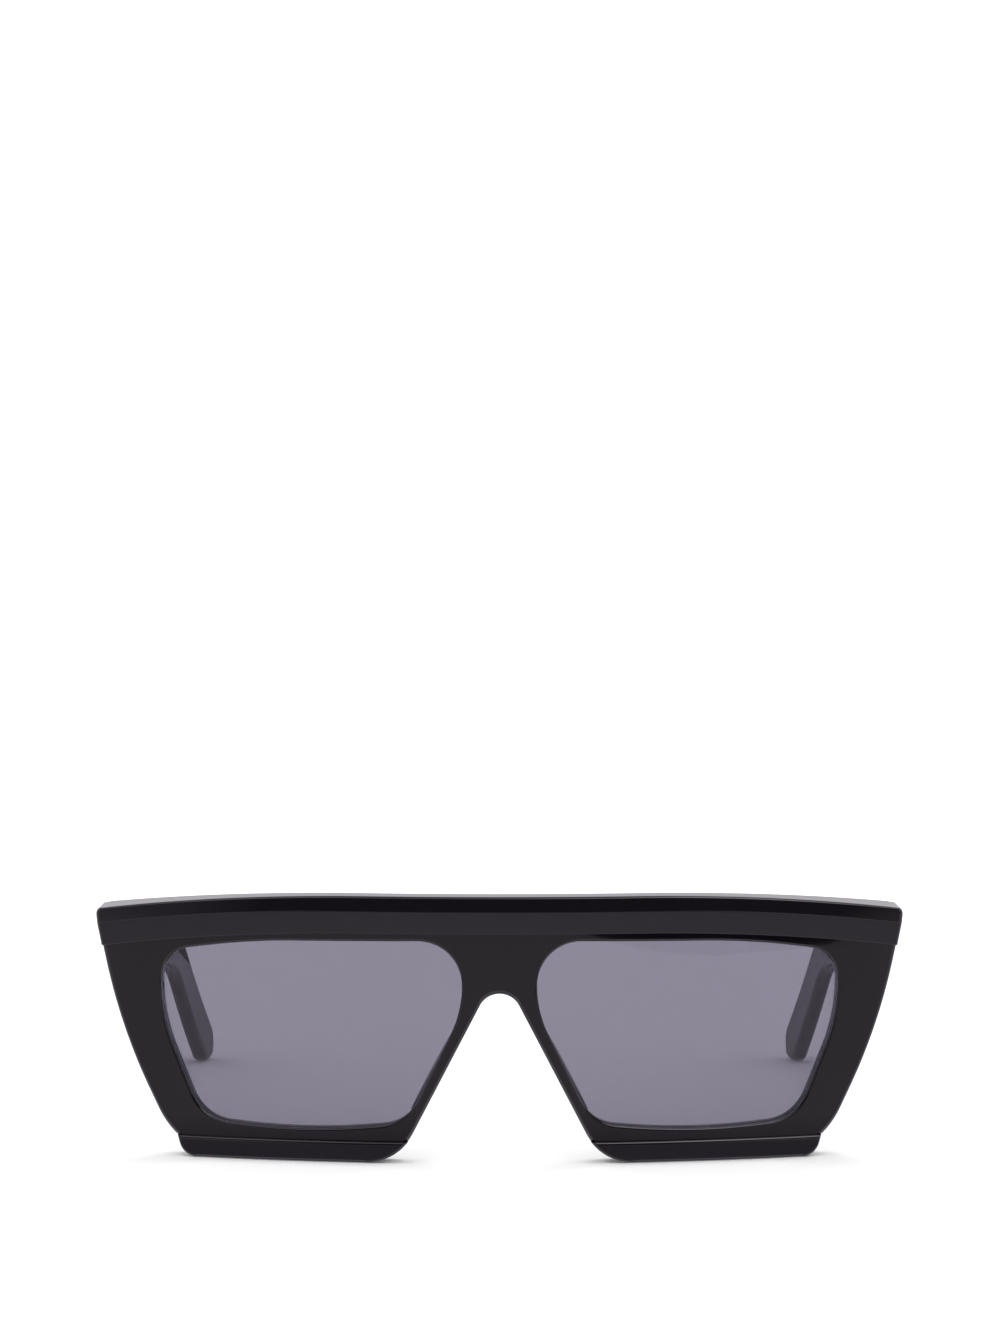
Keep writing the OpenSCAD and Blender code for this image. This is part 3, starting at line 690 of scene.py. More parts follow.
def cut(bm, cutter_bm):
    """The mesh with the cutter's shape taken out of it."""
    cutter = rough_object(cutter_bm)

    def add_modifier(obj):
        difference = obj.modifiers.new("Cut", "BOOLEAN")
        difference.object = cutter
        difference.solver = "EXACT"

    bm = grown(bm, add_modifier)
    bpy.data.objects.remove(cutter)
    return bm


def sized_tree(name, sizes):
    """A Geometry Nodes tree with named inputs for its sizes, and those inputs by name."""
    tree = bpy.data.node_groups.new(name, "GeometryNodeTree")
    tree.is_modifier = True
    tree.interface.new_socket(name="Geometry", in_out="INPUT", socket_type="NodeSocketGeometry")
    for label in sizes:
        tree.interface.new_socket(name=label, in_out="INPUT", socket_type="NodeSocketFloat")
    tree.interface.new_socket(name="Material", in_out="INPUT", socket_type="NodeSocketMaterial")
    tree.interface.new_socket(name="Geometry", in_out="OUTPUT", socket_type="NodeSocketGeometry")
    outputs = add_node(tree, "NodeGroupInput").outputs
    return tree, {label: outputs[label] for label in ("Geometry", *sizes, "Material")}


def close_tree(tree, size_of, geometry):
    """Ends a tree: whatever is instanced becomes real, and gets the material."""
    real = add_node(tree, "GeometryNodeRealizeInstances", inputs={"Geometry": geometry})
    painted = add_node(tree, "GeometryNodeSetMaterial", inputs={
        "Geometry": real, "Material": size_of["Material"]})
    add_node(tree, "NodeGroupOutput", inputs={"Geometry": painted})


def by_tree(bm, tree, values):
    """The mesh that a Geometry Nodes tree makes of a mesh with these named values."""

    def add_modifier(obj):
        modifier = obj.modifiers.new(tree.name, "NODES")
        modifier.node_group = tree
        for item in tree.interface.items_tree:
            if item.in_out == "INPUT" and item.name in values:
                modifier[item.identifier] = values[item.name]

    return grown(bm, add_modifier)


# Pieces of the front

def brow_line(f, base, reach, way):
    """A line that follows the brow's fall, from the middle to a place along the curve, or back."""
    n = max(2, math.ceil(reach / LONGEST_STEP))
    places = [reach * i / n for i in range(n + 1)]
    line = [front_view(f, Vector((s, base - fall(f, s)))) for s in places]
    return line if way > 0 else line[::-1]


def tongue_wall(f, foot, tip, gap):
    """A wall with the tongue round a lens, or with the groove that leaves a gap on both sides of it. foot
    and tip are distances away from the material."""
    start = f.lens_in + (f.lens_t - f.tongue_t) / 2 - gap
    end = start + f.tongue_t + 2 * gap
    return (foot, start), (tip, start), (tip, end), (foot, end)


def frame_mesh(f):
    """The rim plate with both eye openings, the bridge and the nose notch."""
    low, base = f.ledge_h + f.glue, f.front_h - f.brow_h - f.glue
    notch = clipped(notch_points(f), low, f.nose_z)
    side = under(clipped(side_points(f), low, f.front_h), lambda p: base - fall(f, along(f, p).x))
    reach = along(f, side[-1]).x
    top = [side[-1]] + brow_line(f, base, reach, -1)[1:]
    half = [
        Stretch(notch, f.notch_edge, f.back_edge),
        Stretch([notch[-1], side[0]]),
        Stretch(side, f.side_edge, f.back_edge),
        Stretch(top),
    ]
    wall = tongue_wall(f, 0.0, -f.groove_d, f.lens_gap)
    eye = eye_points(f)
    eye.append(eye[0])
    loops = [
        Loop(f, whole(half)),
        Loop(f, [Stretch(eye, f.rim_edge, f.back_edge)], hole=True, wall=wall),
        Loop(f, [Stretch(flipped(eye), f.rim_edge, f.back_edge)], hole=True, wall=wall),
    ]
    return plate(f, loops, lambda s, z: 0.0, f.front_t)


def brow_depth(f):
    """Depth of the brow's two facets at a place along the curve and a height."""
    ridge = f.brow_h - f.facet_h
    lower = f.lower_lean / ridge
    upper = f.facet_lean / (f.facet_h - f.brow_bevel)
    w = f.ridge_edge

    def depth(s, z):
        h = z - (f.front_h - f.facet_h - fall(f, s))
        if h < -w:
            return -f.brow_proud - lower * h
        if h > w:
            return -f.brow_proud + upper * h
        return -f.brow_proud - lower * h + (upper + lower) * (h + w) ** 2 / (4 * w)

    return depth


def brow_mesh(f):
    """The faceted bar along the top."""
    base = f.front_h - f.brow_h
    low = along(f, past(side_points(f), lambda p: base - fall(f, along(f, p).x))[0])
    top, slope = brow_tip(f)
    side = [cut_view(f, p) for p in outline([
        (0, low.y, 0),
        (low.x, low.y, 0),
        (f.half_w - f.brow_in, top + slope * f.brow_in, f.brow_corner),
        (f.half_w / 2, top + slope * f.half_w / 2, 0),
    ])[1:-1]]
    low_reach, top_reach = low.x, along(f, side[-1]).x
    half = [
        Stretch(brow_line(f, base, low_reach, 1)[:-1] + [side[0]], f.ridge_edge),
        Stretch(side, f.brow_end, f.back_edge, step=mm(0.5)),
        Stretch([side[-1]] + brow_line(f, f.front_h, top_reach, -1)[1:], f.brow_bevel, f.back_edge),
    ]
    loop = Loop(f, whole(half))
    ridge = f.front_h - f.facet_h
    reach = low_reach - f.brow_end
    # Four lines of short steps follow the rounded ridge, from its lower side to its upper one
    n = math.ceil(reach / mm(1.5))
    places = [reach * i / n for i in range(-n, n + 1)]
    runs = [[Vector((s, ridge - fall(f, s) + w * f.ridge_edge)) for s in places] for w in (-1, -0.4, 0.4, 1)]
    bm = plate(f, [loop], brow_depth(f), f.front_t, runs)
    # Behind the ridge, the top rises again by its share of the fall
    for v in bm.verts:
        out = Vector((v.co.x, v.co.y + MID_Y - f.face_r))
        s = f.face_r * math.atan2(out.x, -out.y)
        deep = (f.face_r - out.length + f.brow_proud) / (f.front_t + f.brow_proud)
        high = (v.co.z - ridge + fall(f, s)) / f.facet_h
        v.co.z += f.brow_back * fall(f, s) * max(0.0, deep) * min(1.0, max(0.0, high))
    return bm


def ledge_mesh(f):
    """The proud ledge under the right-hand eye, on which the glasses stand."""
    notch = clipped(notch_points(f), 0.0, f.ledge_h)
    outer = f.half_w - f.ledge_in
    ends = [Vector((0, 0)), Vector((outer - f.ledge_draft, 0)), Vector((outer, f.ledge_h))]
    side = [cut_view(f, p) for p in rounded(*ends, f.ledge_end_r) + ends[2:]]
    loop = Loop(f, [
        Stretch(notch, f.ledge_side_r),
        Stretch([notch[-1], side[0]], f.ledge_edge_r, f.back_edge),
        Stretch(side, f.ledge_side_r),
        Stretch([side[-1], notch[0]], f.ledge_edge_r),
    ])
    return plate(f, [loop], lambda s, z: -f.ledge_proud, f.front_t, grid=mm(1.2))


def lens_mesh(f):
    """The right-hand lens, with the tongue that sits in its groove."""
    eye = eye_points(f)
    wall = tongue_wall(f, -f.lens_gap, f.groove_d - f.lens_gap, 0.0)
    loop = Loop(f, [Stretch(eye + [eye[0]], f.lens_gap, f.lens_gap)], wall=wall, inset=f.lens_gap)
    # The lens's walls take the second finish, the ground edge painted dark with the groove's shade
    return plate(f, [loop], lambda s, z: f.lens_in, f.lens_in + f.lens_t, wall_material=1)


def softened(node, width, keep=None):
    """A copy of a CAD node's mesh with its edges over 25 degrees rounded, but for those that keep(point)
    holds."""
    bm = bmesh.new()
    bm.from_mesh(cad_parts[node].data)
    bmesh.ops.remove_doubles(bm, verts=bm.verts, dist=mm(0.001))
    bmesh.ops.dissolve_limit(bm, angle_limit=math.radians(0.5), verts=bm.verts, edges=bm.edges)
    edges = [e for e in bm.edges if e.calc_face_angle(0.0) > math.radians(25)
             and not (keep and all(keep(v.co) for v in e.verts))]
    bmesh.ops.bevel(bm, geom=edges, offset=width, offset_type="OFFSET", segments=3, profile=0.5,
                    affect="EDGES", clamp_overlap=True)
    return bm


def on_front(f):
    """A test for points on the face by which a piece is bonded to the back of the front."""
    r = f.face_r - f.front_t - f.glue
    near = mm(0.03)

    def test(p):
        return abs(math.hypot(p.x, p.y + MID_Y - f.face_r) - r) < near

    return test


# Arms and hinges, all on the right-hand side

def arm_start(f, a):
    """Outer and inner faces of an arm at its hinge, and where the end block stops it."""
    outer = f.face_r * math.sin(f.half_w / f.face_r) - a.inset
    butt = f.face_r - math.sqrt((f.face_r - f.front_t) ** 2 - outer ** 2) + a.block_l
    return outer, outer - a.arm_t, butt


def arm_thickness(a, p):
    """Thickness of an arm: a taper along the straight, then the ear's."""
    return a.arm_t + (a.ear_t - a.arm_t) * min(1.0, p / a.arm_l)


def arm_lengths(f, a):
    """Lengths along an arm's centre line to the end of its bend and to the centre of its round end."""
    bend = a.ear_r * (a.tip_angle - a.slope)
    hinge_z = f.front_h - a.drop - a.arm_h / 2
    drop = a.arm_l * math.sin(a.slope) + a.ear_r * (math.cos(a.slope) - math.cos(a.tip_angle))
    tip = (hinge_z - drop - a.ear_h / 2) / math.sin(a.tip_angle)
    return bend, a.arm_l + bend + tip, hinge_z


def falling(t):
    """Direction of a line that falls at an angle, seen from the side, as back and up."""
    return Vector((math.cos(t), -math.sin(t)))


def arm_point(f, a, p, across, up):
    """A point at a distance from the arm's mid thickness and from its centre line, p along that line."""
    bend, _, hinge_z = arm_lengths(f, a)
    heading = min(a.tip_angle, a.slope + max(0.0, p - a.arm_l) / a.ear_r)
    centre = falling(a.slope) * min(p, a.arm_l)
    centre += a.ear_r * Vector((math.sin(heading) - math.sin(a.slope), math.cos(heading) - math.cos(a.slope)))
    centre += falling(heading) * max(0.0, p - a.arm_l - bend)
    lean = heading * min(1.0, p / a.lean_l)
    q = centre.x + up * math.sin(lean)
    outer, _, butt = arm_start(f, a)
    x = outer - q * math.tan(a.toe) - max(0.0, q - a.even_l) ** 2 / (2 * a.curve_r)
    x += across - arm_thickness(a, p) / 2
    return Vector((x, butt + a.butt_gap + q - MID_Y, hinge_z + centre.y + up * math.cos(lean)))


# Steps along an arm's bend and its round tip, and round each corner of its section
BEND_STEPS = 14
TIP_STEPS = 18
CORNER_STEPS = 6


def arm_mesh(f, a):
    """An arm: rounded sections along its centre line, a squared hinge end and a round tip."""
    bend, round_p, _ = arm_lengths(f, a)
    tip_r = a.ear_h / 2
    rest = round_p - a.arm_l - bend
    stations = [(a.end_edge * (1 - math.cos(t)), a.end_edge * (1 - math.sin(t))) for t in ROUND_TURNS]
    for start, length, steps in (
            (0.0, a.arm_l, math.ceil(a.arm_l / LONGEST_STEP)),
            (a.arm_l, bend, BEND_STEPS),
            (a.arm_l + bend, rest, math.ceil(rest / LONGEST_STEP))):
        stations += [(start + length * i / steps, 0.0) for i in range(1, steps + 1)]
    stations += [(round_p + tip_r * math.sin(math.pi / 2 * i / TIP_STEPS), 0.0) for i in range(1, TIP_STEPS)]
    bm = bmesh.new()
    rows = []
    for p, inset in stations:
        if p < a.arm_l:
            half_h = (a.arm_h + (a.ear_h - a.arm_h) * p / a.arm_l) / 2
        else:
            half_h = tip_r if p < round_p else math.sqrt(max(0.0, tip_r ** 2 - (p - round_p) ** 2))
        half_h -= inset
        half_w = arm_thickness(a, p) / 2 - inset
        # Near the very end of the tip the section is too low for the whole edge radius
        r = min(a.edge_r - inset, 0.9 * half_h)
        row = []
        for k in range(4):
            for i in range(CORNER_STEPS + 1):
                t = math.pi / 2 * (k + i / CORNER_STEPS)
                across = (half_w - r) * (1 if k in (0, 3) else -1) + r * math.cos(t)
                up = (half_h - r) * (1 if k < 2 else -1) + r * math.sin(t)
                row.append(bm.verts.new(arm_point(f, a, p, across, up)))
        rows.append(row)
    n = len(rows[0])
    for low, high in zip(rows, rows[1:]):
        for i in range(n):
            bm.faces.new((low[i], low[(i + 1) % n], high[(i + 1) % n], high[i]))
    bm.faces.new(rows[0])
    bm.faces.new(rows[-1])
    bmesh.ops.recalc_face_normals(bm, faces=bm.faces)
    return bm


def pocket_mesh(f, a, h):
    """The pocket in an arm's inner side that its hinge leaf sinks into, as a cutter that stands out of the
    arm by a millimetre on its two open sides."""
    _, inner, butt = arm_start(f, a)
    hinge_z = arm_lengths(f, a)[2]
    half_h = h.leaf_h / 2 + h.sunk_gap
    start = butt + a.butt_gap - MID_Y
    low = Vector((inner - mm(1), start - mm(1), hinge_z - half_h))
    high = Vector((inner + h.leaf_t + h.sunk_gap, start + h.leaf_l + h.sunk_gap, hinge_z + half_h))
    bm = bmesh.new()
    bmesh.ops.create_cube(bm, size=1.0)
    for v in bm.verts:
        v.co = [lo + (hi - lo) * (c + 0.5) for c, lo, hi in zip(v.co, low, high)]
    return bm


def core_tree():
    """A round wire along the given line, with its two ends closed."""
    tree, size_of = sized_tree("Core wire", ("Diameter", "Step"))
    line = add_node(tree, "GeometryNodeMeshToCurve", inputs={"Mesh": size_of["Geometry"]})
    even = add_node(tree, "GeometryNodeResampleCurve", {"mode": "LENGTH"}, {
        "Curve": line, "Length": size_of["Step"]})
    radius = add_node(tree, "ShaderNodeMath", {"operation": "MULTIPLY"}, {0: size_of["Diameter"], 1: 0.5})
    ring = add_node(tree, "GeometryNodeCurvePrimitiveCircle", inputs={"Resolution": 24, "Radius": radius})
    wire = add_node(tree, "GeometryNodeCurveToMesh", inputs={
        "Curve": even, "Profile Curve": ring, "Fill Caps": True})
    close_tree(tree, size_of, wire)
    return tree


# What a hinge screw's tree works out from its sizes, one step a line. The head's rim is a quarter of a
# circle: the further a height lies over the foot of that quarter, the smaller the head's radius there
SCREW_SIZES = (
    ("top", "Shank length", "ADD", "Head height"),
    ("half head", "Head height", "MULTIPLY", 0.5),
    ("quarter head", "half head", "MULTIPLY", 0.5),
    ("into head", "Shank length", "ADD", "quarter head"),
    ("shank radius", "Shank", "MULTIPLY", 0.5),
    ("blade", "Head", "MULTIPLY", 2.0),
    ("from top", "height", "SUBTRACT", "top"),
    ("from foot", "from top", "ADD", "Head edge"),
    ("over foot", "from foot", "MAXIMUM", 0.0),
    ("over squared", "over foot", "MULTIPLY", "over foot"),
    ("edge squared", "Head edge", "MULTIPLY", "Head edge"),
    ("rest", "edge squared", "SUBTRACT", "over squared"),
    ("rest over nought", "rest", "MAXIMUM", 0.0),
    ("across", "rest over nought", "SQRT", 0.0),
    ("whole radius", "Head", "MULTIPLY", 0.5),
    ("flat radius", "whole radius", "SUBTRACT", "Head edge"),
    ("head radius", "flat radius", "ADD", "across"),
)


def screw_tree():
    """A hinge screw on each given point: a shank, and a cheese head with a rounded edge and a slot."""
    tree, given = sized_tree("Hinge screws", (
        "Shank", "Shank length", "Head", "Head height", "Head edge", "Slot"))
    place = add_node(tree, "ShaderNodeSeparateXYZ", inputs={0: add_node(tree, "GeometryNodeInputPosition")})
    size_of = {**given, "height": place.outputs["Z"]}
    for name, first, operation, second in SCREW_SIZES:
        size_of[name] = add_node(tree, "ShaderNodeMath", {"operation": operation}, {
            0: size_of[first], 1: size_of.get(second, second)})

    def turned(low, high, radius, steps):
        """An upright rod between two heights, whose radius may follow the height."""
        ends = [add_node(tree, "ShaderNodeCombineXYZ", inputs={"Z": z}) for z in (low, high)]
        line = add_node(tree, "GeometryNodeCurvePrimitiveLine", inputs={"Start": ends[0], "End": ends[1]})
        even = add_node(tree, "GeometryNodeResampleCurve", inputs={"Curve": line, "Count": steps})
        ring = add_node(tree, "GeometryNodeCurvePrimitiveCircle", inputs={"Resolution": 48, "Radius": 1.0})
        return add_node(tree, "GeometryNodeCurveToMesh", inputs={
            "Curve": even, "Profile Curve": ring, "Scale": radius, "Fill Caps": True})

    head = turned(size_of["Shank length"], size_of["top"], size_of["head radius"], steps=36)
    shank = turned(0.0, size_of["into head"], size_of["shank radius"], steps=2)
    wide = add_node(tree, "ShaderNodeCombineXYZ", inputs={
        "X": size_of["blade"], "Y": size_of["Slot"], "Z": size_of["Head height"]})
    blade = add_node(tree, "GeometryNodeMeshCube", inputs={"Size": wide})
    up = add_node(tree, "ShaderNodeCombineXYZ", inputs={"Z": size_of["top"]})
    placed = add_node(tree, "GeometryNodeTransform", inputs={"Geometry": blade, "Translation": up})
    slotted = add_node(tree, "GeometryNodeMeshBoolean", {"operation": "DIFFERENCE", "solver": "EXACT"}, {
        "Mesh 1": head, "Mesh 2": placed})
    screw = add_node(tree, "GeometryNodeMeshBoolean", {"operation": "UNION", "solver": "EXACT"}, {
        "Mesh 2": slotted})
    tree.links.new(shank.outputs[0], screw.inputs["Mesh 2"])
    each = add_node(tree, "GeometryNodeInstanceOnPoints", inputs={
        "Points": size_of["Geometry"], "Instance": screw})
    close_tree(tree, size_of, each)
    return tree


def line_mesh(points, joined=True):
    """A mesh of points, joined in a line or left loose."""
    bm = bmesh.new()
    verts = [bm.verts.new(p) for p in points]
    if joined:
        for a, b in zip(verts, verts[1:]):
            bm.edges.new((a, b))
    return bm


# Materials

def add_node(tree, kind, settings=(), inputs=()):
    """Adds a node with its settings and its inputs. An input is a value, the output that feeds it, or a
    node, whose first output in use feeds it."""
    node = tree.nodes.new(kind)
    for key, value in dict(settings).items():
        setattr(node, key, value)
    for key, value in dict(inputs).items():
        if isinstance(value, bpy.types.Node):
            value = next(output for output in value.outputs if output.enabled)
        if isinstance(value, bpy.types.NodeSocket):
            tree.links.new(value, node.inputs[key])
        else:
            node.inputs[key].default_value = value
    return node


def opaque(colour, strength=1.0):
    """The four channels of a colour, made darker or brighter by a factor."""
    return (*[channel * strength for channel in colour], 1.0)


def new_material(name, **values):
    """A material, and its Principled node with some values."""
    material = bpy.data.materials.new(name)
    material.use_nodes = True
    surface = material.node_tree.nodes["Principled BSDF"]
    for key, value in values.items():
        surface.inputs[key.replace("_", " ")].default_value = value
    return material, surface


def vary(surface, across, detail, tint=None, polish=None, relief=None):
    """Lets a finish vary along clouds of a real size, fixed to the piece. tint is a colour and its two
    strengths, polish two roughnesses and where in the clouds each is reached, relief a height and a
    strength."""
    tree = surface.id_data
    place = add_node(tree, "ShaderNodeTexCoord").outputs["Object"]
    clouds = add_node(tree, "ShaderNodeTexNoise", inputs={
        "Vector": place, "Scale": 1 / across, "Detail": detail})
    if tint:
        colour, low, high = tint
        mix = add_node(tree, "ShaderNodeMix", {"data_type": "RGBA"}, {
            0: clouds, 6: opaque(colour, low), 7: opaque(colour, high)})
        tree.links.new(mix.outputs[2], surface.inputs["Base Color"])
    if polish:
        low, high, start, end = polish
        rough = add_node(tree, "ShaderNodeMapRange", inputs={
            "Value": clouds, "From Min": start, "From Max": end, "To Min": low, "To Max": high})
        tree.links.new(rough.outputs[0], surface.inputs["Roughness"])
    if relief:
        height, strength = relief
        bump = add_node(tree, "ShaderNodeBump", inputs={
            "Height": clouds, "Distance": height, "Strength": strength})
        tree.links.new(bump.outputs[0], surface.inputs["Normal"])


def black_acetate(colour):
    """Cellulose acetate cut from sheet, tumbled and polished: a deep black under a wet gloss, with the
    faint waviness and the slightly uneven polish that tumbling leaves."""
    material, surface = new_material("polished black cellulose acetate", IOR=1.48)
    # Clouds of pigment some 9 mm across in the sheet
    vary(surface, mm(9), 3.0, tint=(colour, 0.8, 1.25))
    # The polish is uneven over some 4 mm
    vary(surface, mm(4), 4.0, polish=(0.01, 0.02, 0.3, 0.7))
    # Tumbling leaves waves about 6 mm long and a micrometre high
    vary(surface, mm(6), 1.0, relief=(mm(0.001), 0.3))
    return material


def smoked_lens(colour):
    """Tinted optical resin, cast and dyed, with hard-coated polished faces: grey-violet, clear and glossy."""
    material, surface = new_material("dyed optical resin", IOR=1.5, Roughness=0.0, Transmission_Weight=1.0)
    # The dye bath leaves the tint uneven by about a hundredth, over some 30 mm
    vary(surface, mm(30), 0.0, tint=(colour, 0.99, 1.01))
    return material


def ground_edge_in_painted_shade(colour):
    """The rim of a lens as the grinding wheel leaves it, matt and finely scratched, and painted dark: painted
    shade of the black groove it sits in.
    """
    material, surface = new_material("ground resin edge in painted groove shade")
    # Its colour, a sixth to a quarter of the lens's, is painted shade of the black groove round the edge
    # Scratches about 0.2 mm apart
    vary(surface, mm(0.2), 2.0, tint=(colour, 0.15, 0.25), polish=(0.4, 0.6, 0.0, 1.0))
    return material


def metal(name, colour, roughness, across):
    """A metal with a fine grain of a real size, which sets how its colour and its polish vary and leaves a
    relief of a few micrometres."""
    material, surface = new_material(name, Metallic=1.0)
    vary(surface, across, 3.0, tint=(colour, 0.9, 1.0),
         polish=(roughness * 0.7, roughness * 1.3, 0.0, 1.0), relief=(mm(0.005), 0.5))
    return material


FINISHES = {
    "acetate": lambda colours: black_acetate(colours.acetate),
    "lens": lambda colours: smoked_lens(colours.lens),
    # A lens's walls: ground matt, and painted dark with the shade of the groove round them
    "ground edge in painted shade": lambda colours: ground_edge_in_painted_shade(colours.lens),
    # Stamped leaves, barrel-finished: a warm grey metal with a soft, silky sheen
    "hinge": lambda colours: metal("satin nickel silver", colours.hinge, 0.28, mm(0.4)),
    # Turned heads, bright from the lathe and the polishing mop
    "screw": lambda colours: metal("polished steel", colours.screw, 0.16, mm(0.3)),
}
MADE = {}


def finish(short):
    """The material of that short name, made at its first use."""
    if short not in MADE:
        MADE[short] = FINISHES[short](bpy.context.scene.flat_top_finishes)
    return MADE[short]


# Stage, whose lengths are in metres

# The camera as fitted to the photograph: how far it stands in front of the face and above the table, how
# far it looks down, its lens and the width of its sensor in millimetres, and its shift in sensor widths
CAMERA_AWAY = 0.9917
CAMERA_UP = 0.1528
CAMERA_DOWN = math.radians(3.588)
CAMERA_LENS = 197.64
CAMERA_SENSOR = 36
CAMERA_SHIFT = 0.0005
# The table, the soft box and its power in watts
TABLE_SIZE = 4.0
BOX_SIZE = 0.45
BOX_PLACE = Vector((0.1, 0.45, 0.8))
BOX_POWER = 2.0
# How bright the even light is on what scatters it, and to the camera and through the lenses
SCATTERED = 1.47
SEEN = 1.04
# The mirrored table from 17 degrees below the horizon up to the horizon, as heights and colours
TABLE_LOW = -0.3
TABLE_STRIPES = (
    (0.0, (0.70, 0.62, 0.78)),
    (0.4, (0.44, 0.40, 0.50)),
    (0.49, (0.42, 0.39, 0.48)),
    (0.503, (0.34, 0.31, 0.38)),
    (0.523, (0.62, 0.55, 0.63)),
    (0.64, (0.56, 0.50, 0.56)),
    (0.8, (0.66, 0.60, 0.66)),
    (1.0, (0.5, 0.47, 0.5)),
)


def add_table(colours):
    """A plain white table that the gloss doesn't mirror, because the world gives its mirror image."""
    material, surface = new_material("white table", Roughness=0.6, Specular_IOR_Level=0.2)
    surface.inputs["Base Color"].default_value = opaque(colours.table)
    bm = bmesh.new()
    bmesh.ops.create_grid(bm, x_segments=1, y_segments=1, size=TABLE_SIZE)
    mesh = bpy.data.meshes.new("table")
    bm.to_mesh(mesh)
    bm.free()
    mesh.materials.append(material)
    table = bpy.data.objects.new("table", mesh)
    bpy.context.scene.collection.objects.link(table)
    table.visible_glossy = False


def laid_over(tree, under_it, colour, *masks):
    """A colour laid over another one as far as every mask lets it. A mask is a node, or a value with where
    it is nought and where it is one. A colour is three numbers or a node."""
    total = None
    for mask in masks:
        if isinstance(mask, tuple):
            value, nought, one = mask
            mask = add_node(tree, "ShaderNodeMapRange", inputs={
                "Value": value, "From Min": nought, "From Max": one})
        total = mask if total is None else add_node(
            tree, "ShaderNodeMath", {"operation": "MULTIPLY"}, {0: total, 1: mask})
    first, second = (opaque(c) if isinstance(c, tuple) else c for c in (under_it, colour))
    return add_node(tree, "ShaderNodeMix", {"data_type": "RGBA"}, {0: total, 6: first, 7: second})


def oval(tree, values, centre, half):
    """A mask that is one inside an oval of directions, given its centre and its half widths."""
    squares = []
    for value, middle, reach in zip(values, centre, half):
        scaled = add_node(tree, "ShaderNodeMapRange", inputs={
            "Value": value, "From Min": middle - 2 * reach, "From Max": middle + 2 * reach,
            "To Min": -2.0, "To Max": 2.0})
        squares.append(add_node(tree, "ShaderNodeMath", {"operation": "MULTIPLY"}, {0: scaled, 1: scaled}))
    total = add_node(tree, "ShaderNodeMath", {"operation": "ADD"}, dict(enumerate(squares)))
    return add_node(tree, "ShaderNodeMapRange", inputs={"Value": total, "From Min": 1.03, "From Max": 0.97})


def add_world(scene):
    """Even white light, and what the black gloss mirrors instead of it: the table below the horizon, and
    above it a dark room in front with pale sides, a strip that only paints a highlight, and a pale wall
    behind."""
    world = bpy.data.worlds.new("studio")
    scene.world = world
    world.use_nodes = True
    tree = world.node_tree
    way = add_node(tree, "ShaderNodeTexCoord").outputs["Generated"]
    x, y, z = add_node(tree, "ShaderNodeSeparateXYZ", inputs={0: way}).outputs
    aside = add_node(tree, "ShaderNodeMath", {"operation": "ABSOLUTE"}, {0: x})
    height = add_node(tree, "ShaderNodeMapRange", inputs={"Value": z, "From Min": TABLE_LOW, "From Max": 0.0})
    below = add_node(tree, "ShaderNodeValToRGB", inputs={0: height})
    ramp = below.color_ramp.elements
    while len(ramp) < len(TABLE_STRIPES):
        ramp.new(0.5)
    for stop, (position, colour) in zip(ramp, TABLE_STRIPES):
        stop.position = position
        stop.color = opaque(colour)
    # Painted reflection, seen only in the gloss: the mirrored table is paler at its sides, brightest close
    # by, and even behind the glasses
    below = laid_over(tree, below, (0.9, 0.83, 0.9), (aside, 0.76, 0.94), (z, -0.24, -0.18))
    below = laid_over(tree, below, (1.7, 1.6, 1.7), (z, -0.34, -0.6), (z, -0.9, -0.7))
    below = laid_over(tree, below, (1.0, 0.96, 1.04), (y, -0.3, 0.6))
    # A dark oval to the right in the mirrored table, seen only in the gloss, paints the dark reflection wedge
    # under the brow
    painted_dark_reflection = oval(tree, (x, z), (0.47, -0.1033), (0.35, 0.0116))
    below = laid_over(tree, below, (0.03, 0.02, 0.04), painted_dark_reflection)
    # The room in front, seen only in the gloss: paler on the left, pale low sides, and a bright strip,
    # brighter on the right, that lights nothing and paints the highlight line along the ledges
    above = laid_over(tree, (0.33, 0.28, 0.38), (0.09, 0.07, 0.11), (x, -0.68, -0.5))
    above = laid_over(tree, above, (0.85, 0.78, 0.86), (aside, 0.35, 0.6), (z, 0.5, 0.42))
    gloss_only_highlight_strip = laid_over(tree, (1.8, 1.7, 1.9), (4.2, 4.1, 4.4), (x, -0.1, 0.2))
    above = laid_over(tree, above, gloss_only_highlight_strip, (z, 0.79, 0.81), (z, 0.98, 0.96))
    # The wall behind
    above = laid_over(tree, above, (0.72, 0.70, 0.74), (y, -0.1, 0.3))
    mirrored = laid_over(tree, below, above, (z, -0.01, 0.05))
    ray = add_node(tree, "ShaderNodeLightPath").outputs
    by_gloss = add_node(tree, "ShaderNodeMath", {"operation": "SUBTRACT", "use_clamp": True}, {
        0: ray["Is Glossy Ray"], 1: ray["Is Transmission Ray"]})
    even = add_node(tree, "ShaderNodeMapRange", inputs={
        "Value": ray["Is Diffuse Ray"], "To Min": SEEN, "To Max": SCATTERED})
    light = laid_over(tree, even, mirrored, by_gloss)
    tree.links.new(light.outputs[2], tree.nodes["Background"].inputs["Color"])


def add_lamp(scene):
    """A soft box above and behind the glasses, whose shadow gathers along the foot of the front."""
    lamp = bpy.data.lights.new("overhead softbox", "AREA")
    lamp.size = BOX_SIZE
    lamp.energy = BOX_POWER
    overhead = bpy.data.objects.new("overhead softbox", lamp)
    overhead.location = BOX_PLACE
    overhead.rotation_euler = (-BOX_PLACE).to_track_quat("-Z", "Y").to_euler()
    overhead.visible_glossy = False
    scene.collection.objects.link(overhead)


